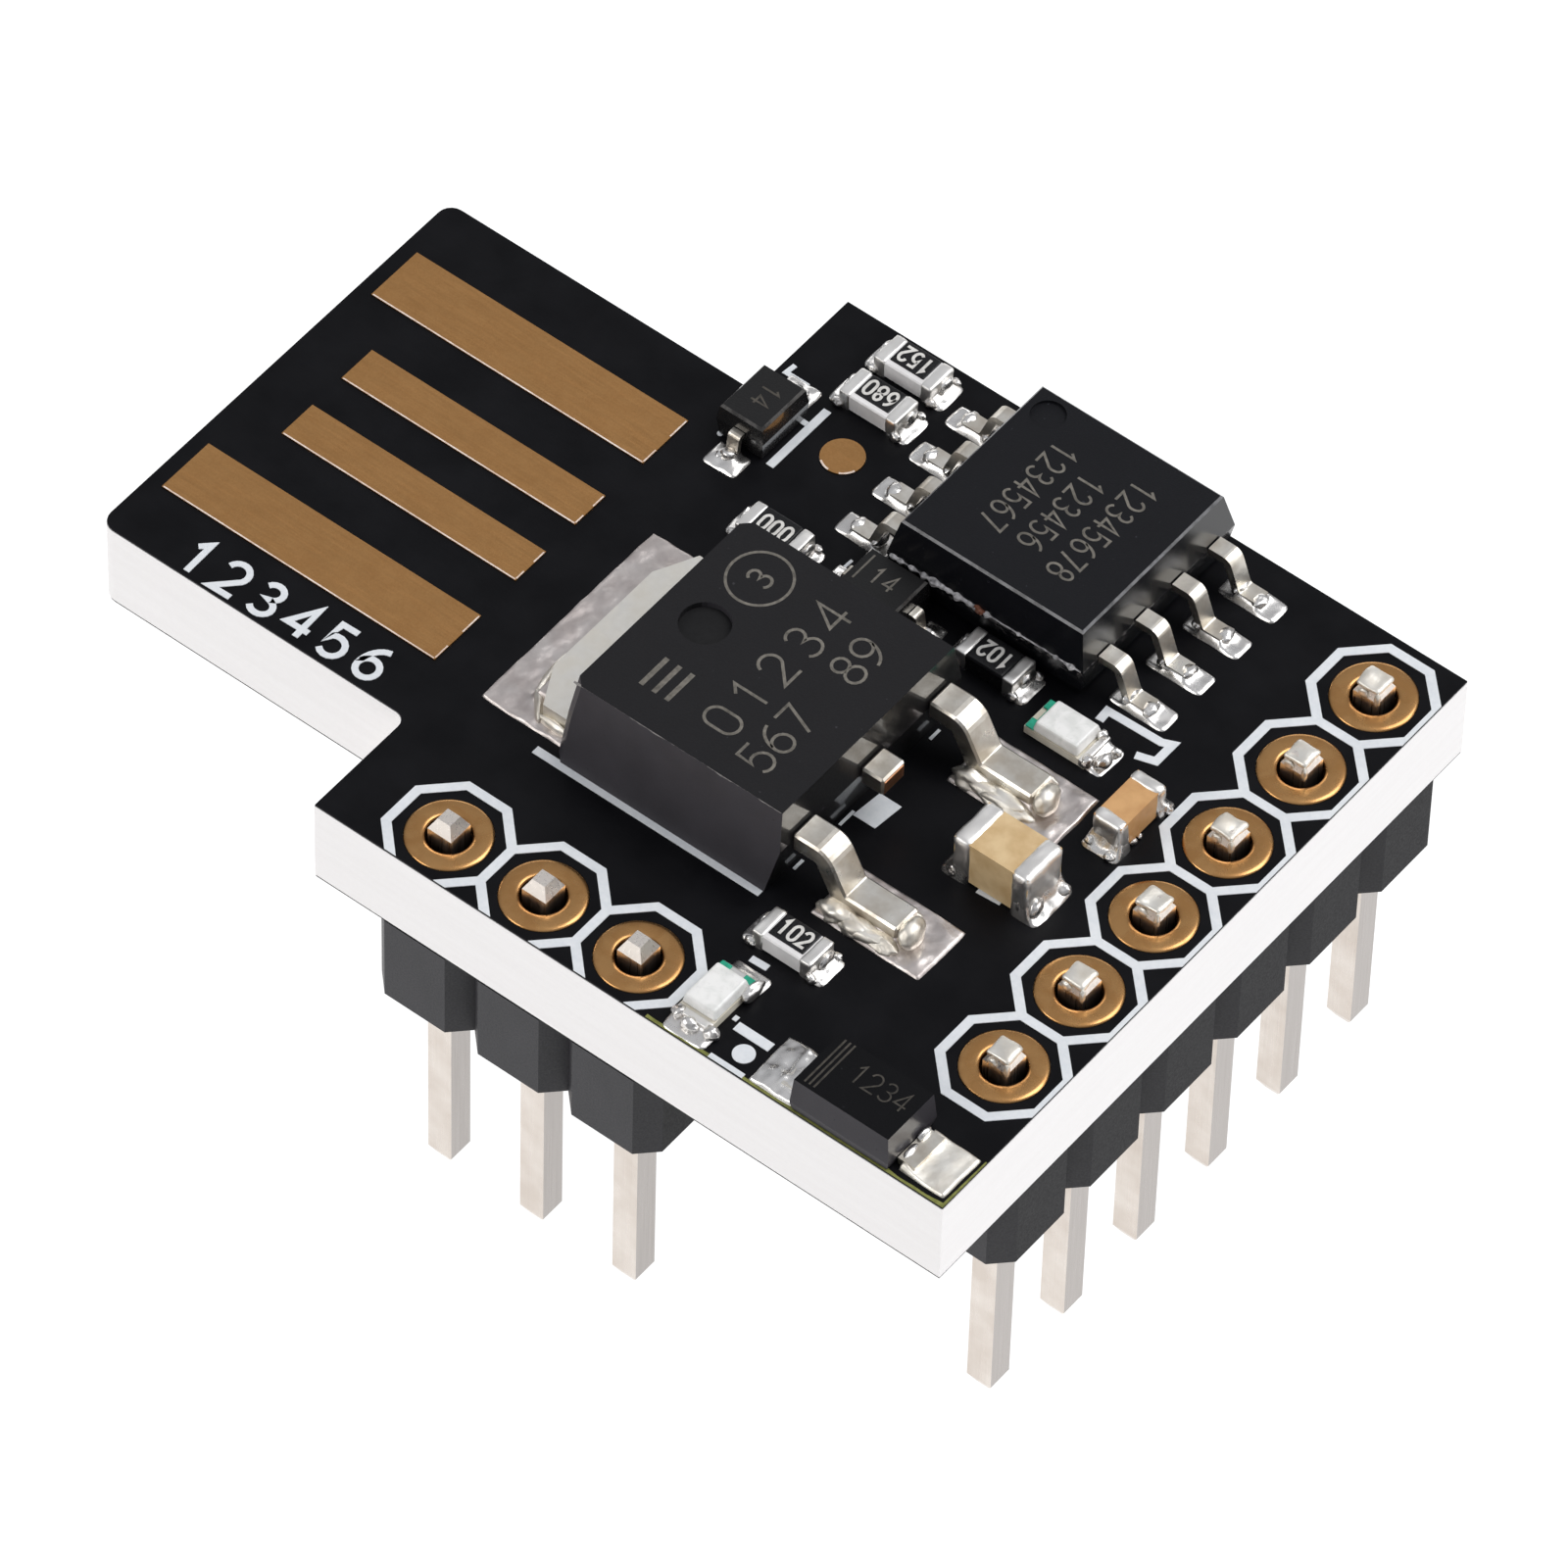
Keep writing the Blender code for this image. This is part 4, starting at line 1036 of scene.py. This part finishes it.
def make_chip_solder():
    """Solder at both ends of the resistors, capacitors and LEDs."""
    for node in named("resistor"):
        low, high = span(node)
        x, y = middle(node)
        for end, edge, side in (("start", low[0], -1), ("end", high[0], 1)):
            box = (*sorted((edge - side * 0.32, edge + side * 0.34)), low[1] - 0.03, high[1] + 0.05)
            end_solder(f"solder_{node}_{end}", box, footprint(node, 0.03), 0.20, 0.05, side * 2.1 + x + y)
            beads(f"solder_{node}_lump_{end}", [
                ((edge + side * 0.04, low[1] - 0.01, 0.09), (0.15, 0.10, 0.12), 0),
                ((edge + side * 0.07, y + 0.10, 0.22), (0.09, 0.24, 0.20), 0),
                ((edge + side * 0.10, high[1], 0.08), (0.13, 0.10, 0.10), 0),
            ])
    for name, beyond, climb in (("capacitor_large", 0.30, 0.45), ("capacitor_small", 0.26, 0.34)):
        core = middle(name + "_ceramic")
        for end in ("start", "end"):
            node = f"{name}_cap_{end}"
            low, high = span(node)
            side_x = side_of(middle(node)[0], core[0])
            side_y = 0 if side_x else side_of(middle(node)[1], core[1])
            near_x, near_y = (0.0, 0.06) if side_x else (0.08, 0.0)
            box = (
                low[0] - (beyond if side_x < 0 else near_x), high[0] + (beyond if side_x > 0 else near_x),
                low[1] - (beyond if side_y < 0 else near_y), high[1] + (beyond if side_y > 0 else near_y),
            )
            end_solder(f"solder_{name}_{end}", box, footprint(node, 0.04), climb, 0.06, low[0] * 1.3 + low[1])
    low, high = span("led_power_base")
    foot = footprint("led_power_base")
    box = (low[0] + 0.10, high[0] + 0.16, high[1] - 0.20, high[1] + 0.36)
    end_solder("solder_led_power_end", box, foot, 0.12, 0.03, 1.4)
    box = (low[0] - 0.06, high[0] + 0.16, BOARD_LOW[1] + 0.02, low[1] + 0.20)
    end_solder("solder_led_power_start", box, foot, 0.12, 0.015, 7.7)
    low, high = span("led_signal_base")
    box = (high[0] - 0.16, high[0] + 0.42, low[1] + 0.02, high[1] + 0.02)
    end_solder("solder_led_signal_end", box, footprint("led_signal_base"), 0.14, 0.05, 2.9)


# ---------------------------------------------------------------- markings and small layers

RESISTOR_CODES = {
    "resistor_back_upper": ("152", 180),
    "resistor_back_lower": ("680", 180),
    "resistor_behind_regulator": ("000", 180),
    "resistor_beside_mcu": ("102", 180),
    "resistor_front": ("102", 0),
}


def make_resistor_layers():
    """Black overcoat with its value code, and the metal wrapped round each end."""
    digit_height, advance, narrow = 0.42, 0.66, 0.72
    for node, (code, turn) in RESISTOR_CODES.items():
        low, high = span(node)
        top = high[2]
        # painted shade: on the shaded resistors the overcoat reaches almost to the front edge
        front = 0.02 if node in SHADED_RESISTORS else 0.14
        coat_low = (low[0] + 0.29, low[1] + front, top - 0.012)
        coat_high = (high[0] - 0.29, high[1] - 0.01, top + 0.022)
        rounded_block(node + "_overcoat", coat_low, coat_high, 0.015, "overcoat", 7)
        for end, edge, side in (("start", low[0], -1), ("end", high[0], 1)):
            x_low, x_high = sorted((edge - side * 0.27, edge + side * 0.03))
            end_low = (x_low, low[1] - 0.018, low[2] - 0.004)
            end_high = (x_high, high[1] + 0.018, top + 0.024)
            name = f"{node}_terminal_{end}"
            rounded_block(name, end_low, end_high, 0.055, "cap_end", 9, 0.02)
        width = (2 * advance + 0.44) * digit_height
        sign = 1 if turn == 0 else -1
        middle_y = (low[1] + front + high[1] - 0.01) / 2
        start = (middle(node)[0] - sign * width / 2, middle_y - sign * digit_height / 2)
        shapes = number_shapes(code, start, digit_height, 0.072, turn, advance, narrow)
        mark_layer(node + "_code", shapes, top + 0.026, "code")


def make_capacitor_ends():
    """Dipped metal ends of the capacitors, with soft round edges."""
    for name, radius in (("capacitor_large", 0.13), ("capacitor_small", 0.12)):
        for end in ("start", "end"):
            node = f"{name}_cap_{end}"
            low, high = span(node)
            cap = rounded_block(node + "_metal", low, high, radius, "cap_end", 15, 0.03)
            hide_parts(node)


# Numbers on the packages: digits, start from the middle of the body, height, stroke, turn,
# advance from digit to digit and how narrow the digits are
PACKAGE_NUMBERS = {
    "mcu_body": (
        ("12345678", 0.72, 1.58, 0.62, 0.060, -90, 0.66, 0.72),
        ("123456", -0.26, 1.02, 0.62, 0.060, -90, 0.66, 0.72),
        ("1234567", -1.24, 1.36, 0.62, 0.060, -90, 0.66, 0.72),
    ),
    "regulator_body": (
        ("01234", 0.76, -1.98, 0.86, 0.070, 90, 1.05),
        ("567", 1.92, -2.30, 0.80, 0.070, 90, 0.82),
        ("89", 1.92, 0.75, 0.80, 0.070, 90, 0.82),
    ),
    "zener_tongue_body": (("14", -0.18, 0.33, 0.44, 0.05, -90, 0.80, 0.85),),
    "zener_middle_body": (("14", -0.28, -0.22, 0.44, 0.05, 0, 0.80, 0.85),),
    "schottky_body": (("1234", -0.40, -0.06, 0.50, 0.040, 0, 0.74, 0.9),),
}


def mark_package(name, extra=(), key="etch", lift=0.004, thickness=0.006):
    """Numbers on top of a package, with extra shapes beside them."""
    node = name + "_body"
    x, y = middle(node)
    shapes = []
    for text, across, along, *rest in PACKAGE_NUMBERS[node]:
        shapes += number_shapes(text, (x + across, y + along), *rest)
    mark_layer("mark_" + name, shapes + list(extra), span(node)[1][2] + lift, key, thickness=thickness)


def stripes(node, first, gap, count, start, end, width):
    """Polygons of straight lines side by side, placed from the middle of a part."""
    x, y = middle(node)
    shapes = []
    for step in range(count):
        across = x + first + gap * step
        shapes += line((across, y + start), (across, y + end), width)
    return shapes


def make_package_marks():
    """Generic numbers and lines on the packages, and painted shade in the regulator's dimple."""
    mark_package("mcu")
    ring_place = (0.42, 0.19)
    extra = line_shapes([arc(*ring_place, 0.72, 0.74, 0, 360, 40)], 0.065)
    extra += number_shapes("3", (ring_place[0] + 0.28, ring_place[1] - 0.17), 0.56, 0.07, 90)
    extra += stripes("regulator_body", -1.60, 0.34, 3, -2.05, -1.15, 0.12)
    mark_package("regulator", extra, lift=0.0016, thickness=0.003)
    # painted shade: a dark disc on the floor of the pin-one dimple
    dimple_place, dimple_radius, dimple_height = (0.29, -1.485), 0.565, 13.056
    dimple_shade = disc(dimple_place, dimple_radius, 40)
    mark_layer("regulator_dimple_shade", [dimple_shade], dimple_height, "dimple_shade", thickness=0.004)
    mark_package("zener_tongue", key="faint_etch")
    mark_package("zener_middle", stripes("zener_middle_body", -0.55, 0, 1, -0.36, 0.42, 0.045))
    mark_package("schottky", stripes("schottky_body", -1.03, 0.12, 3, -0.66, 0.72, 0.045), "faint_etch")


def roughness_along(x, scales, places, share):
    """Uneven value along a line: broad noise with a share of finer noise."""
    broad, fine = (noise.noise(Vector((x * scale, *place))) for scale, place in zip(scales, places))
    return broad + share * fine


def make_moulding_flash():
    """Broken line of flash at the parting line on the front of the microcontroller, with pale patches of
    painted highlight on it.
    """
    low, high = span("mcu_body")
    y, height = low[1], TOP + 0.95
    sections = []
    steps = 260
    for step in range(steps + 1):
        x = low[0] + 0.10 + (high[0] - low[0] - 0.16) * step / steps
        rough = roughness_along(x, (2.1, 7.0), ((3.3, 0.7), (1.3, 4.7)), 0.9)
        reach = 0.020 + 0.090 * max(0.0, rough + 0.20)
        tall = 0.018 + 0.095 * max(0.0, rough + 0.15)
        middle_height = height + 0.020 * noise.noise(Vector((x * 3.3, 9.1, 2.2)))
        sections.append((
            (x, y + 0.01, middle_height + tall),
            (x, y - reach, middle_height + tall * 0.4),
            (x, y - reach, middle_height - tall * 0.4),
            (x, y + 0.01, middle_height - tall),
        ))
    add_strip("moulding_flash_mcu", sections, "flash")
    bead("residue_mcu", (3.85, y - 0.02, height), (0.15, 0.07, 0.10), 0, "residue", 0.25, 2.0)


def make_edge_wear_highlight():
    """Pale broken line along the regulator's top front edge: rubbed moulding with a painted highlight."""
    low, high = span("regulator_body")
    x_low, x_high = low[0] + 0.22, high[0] - 0.14
    y, top = low[1] + 0.42, high[2]
    sections = []
    steps = 240
    for step in range(steps + 1):
        x = x_low + (x_high - x_low) * step / steps
        rough = roughness_along(x, (1.7, 6.0), ((8.3, 1.7), (2.3, 7.7)), 0.8)
        wide = 0.004 + 0.045 * max(0.0, rough + 0.25)
        sections.append((
            (x, y + wide, top - 0.0004),
            (x, y - wide * 0.5, top - 0.0010 - wide * 0.5),
            (x, y - 0.0005, top - 0.004),
            (x, y + wide, top - 0.004),
        ))
    add_strip("edge_wear_highlight_regulator", sections, "wear_and_highlight")


def make_stub_end():
    """Bare copper where the middle lead is cut off."""
    low, high = span("regulator_lead_middle_stub")
    cut_low = (high[0] - 0.01, low[1] + 0.05, low[2] + 0.04)
    cut_high = (high[0] + 0.012, high[1] - 0.05, high[2] - 0.10)
    rounded_block("stub_cut_end", cut_low, cut_high, 0.01, "copper", 7)


def make_led_details():
    """Metal ends and the green polarity marks of the LEDs."""
    for name, axis, mark_side, metal_sides in (("led_power", 1, 1, (-1, 1)), ("led_signal", 0, -1, (1,))):
        ends = span(name + "_base")
        low, high = ends
        across = 1 - axis
        for side in metal_sides:
            block_low = [low[0] - 0.006, low[1] - 0.006, low[2] - 0.004]
            block_high = [high[0] + 0.006, high[1] + 0.006, high[2] + 0.016]
            edge = ends[side > 0][axis]
            block_low[axis], block_high[axis] = sorted((edge - side * 0.17, edge + side * 0.018))
            piece = name + ("_terminal_start" if side < 0 else "_terminal_end")
            rounded_block(piece, block_low, block_high, 0.03, "cap_end", 7)
        edge = span(name + "_lens")[mark_side > 0][axis]
        for corner, side in (("a", -1), ("b", 1)):
            mark_low = [0.0, 0.0, high[2] + 0.010]
            mark_high = [0.0, 0.0, high[2] + 0.055]
            mark_low[axis], mark_high[axis] = sorted((edge - mark_side * 0.04, edge + mark_side * 0.19))
            outer = ends[side > 0][across]
            mark_low[across], mark_high[across] = sorted((outer - side * 0.27, outer - side * 0.004))
            rounded_block(f"{name}_green_mark_{corner}", mark_low, mark_high, 0.02, "green", 7)
        line_low = [low[0] + 0.20, low[1] + 0.20, high[2] + 0.010]
        line_high = [high[0] - 0.20, high[1] - 0.20, high[2] + 0.045]
        line_low[axis], line_high[axis] = sorted((edge, edge + mark_side * 0.07))
        rounded_block(name + "_green_line", line_low, line_high, 0.012, "green", 7)


# ---------------------------------------------------------------- studio

def make_floor():
    """Large pale floor under the pins."""
    size = 600.0
    data = bpy.data.meshes.new("studio_floor")
    corners = [(-size, -size), (size, -size), (size, size), (-size, size)]
    data.from_pydata([(x * MM, y * MM, -0.02 * MM) for x, y in corners], [], [(0, 1, 2, 3)])
    data.materials.append(floor_material())
    floor = bpy.data.objects.new("studio_floor", data)
    bpy.context.scene.collection.objects.link(floor)


def add_softbox(name, direction, distance, size, strength, color=(1.0, 1.0, 1.0)):
    """Rectangular light that faces the board from a direction."""
    light = bpy.data.lights.new(name, "AREA")
    light.shape = "RECTANGLE"
    light.size, light.size_y = size
    light.energy = strength
    light.color = color
    box = bpy.data.objects.new(name, light)
    away = Vector(direction).normalized()
    box.location = Vector((0, 0, TOP * MM)) + away * distance
    box.rotation_mode = "QUATERNION"
    box.rotation_quaternion = away.to_track_quat("Z", "Y")
    bpy.context.scene.collection.objects.link(box)


def make_lights():
    """Soft studio light: a box above, others at the front left, right and low behind, and a pale room."""
    add_softbox("softbox_overhead", (0.38, 0.42, 0.85), 0.45, (0.30, 0.30), 0.95)
    add_softbox("softbox_front_left", (-0.40, -0.78, 0.50), 0.45, (0.22, 0.22), 0.50, (1.0, 0.985, 0.96))
    add_softbox("softbox_right", (0.80, 0.47, 0.38), 0.45, (0.22, 0.22), 0.28, (0.98, 0.99, 1.0))
    add_softbox("softbox_back", (-0.59, 0.78, 0.24), 0.45, (0.34, 0.12), 0.20)
    world = bpy.data.worlds.new("studio_room")
    bpy.context.scene.world = world
    world.use_nodes = True
    nodes, links = world.node_tree.nodes, world.node_tree.links
    place = nodes.new("ShaderNodeTexCoord")
    parts = nodes.new("ShaderNodeSeparateXYZ")
    rise = nodes.new("ShaderNodeMapRange")
    links.new(place.outputs["Generated"], parts.inputs["Vector"])
    links.new(parts.outputs["Z"], rise.inputs["Value"])
    for key, value in (("From Min", 0.0), ("From Max", 1.0), ("To Min", 0.16), ("To Max", 0.58)):
        rise.inputs[key].default_value = value
    back = nodes["Background"]
    back.inputs["Color"].default_value = (0.93, 0.95, 1.0, 1.0)
    links.new(rise.outputs["Result"], back.inputs["Strength"])


def make_camera():
    """Camera at the board's front right, looking down on it."""
    azimuth, elevation, roll = (math.radians(angle) for angle in (37.1, 51.2, 1.76))
    distance = 277.5
    back = Vector((
        math.sin(azimuth) * math.cos(elevation),
        -math.cos(azimuth) * math.cos(elevation),
        math.sin(elevation),
    ))
    data = bpy.data.cameras.new("camera")
    data.sensor_width = 36.0
    data.lens = 304.2
    data.clip_start = 0.01
    data.clip_end = 10.0
    camera = bpy.data.objects.new("camera", data)
    target = Vector((3.135 * MM, -2.34 * MM, TOP * MM))
    camera.location = target + back * distance * MM
    camera.rotation_mode = "QUATERNION"
    camera.rotation_quaternion = (-back).to_track_quat("-Z", "Y") @ Quaternion((0, 0, 1), roll)
    bpy.context.scene.collection.objects.link(camera)
    bpy.context.scene.camera = camera


def set_colour_management():
    """Plain display transform."""
    view = bpy.context.scene.view_settings
    view.view_transform = "Standard"
    view.look = "None"


# ---------------------------------------------------------------- whole scene

make_camera()
make_floor()
make_lights()
set_colour_management()
dress_nodes()
make_rings()
make_contact_highlights()
make_pin_tinning()
make_pin_outlines()
make_printed_lines()
make_bare_edges()
make_mcu_solder()
make_regulator_solder()
make_diode_solder()
make_chip_solder()
make_solder_lumps()
make_resistor_layers()
make_capacitor_ends()
make_package_marks()
make_moulding_flash()
make_edge_wear_highlight()
make_stub_end()
make_led_details()
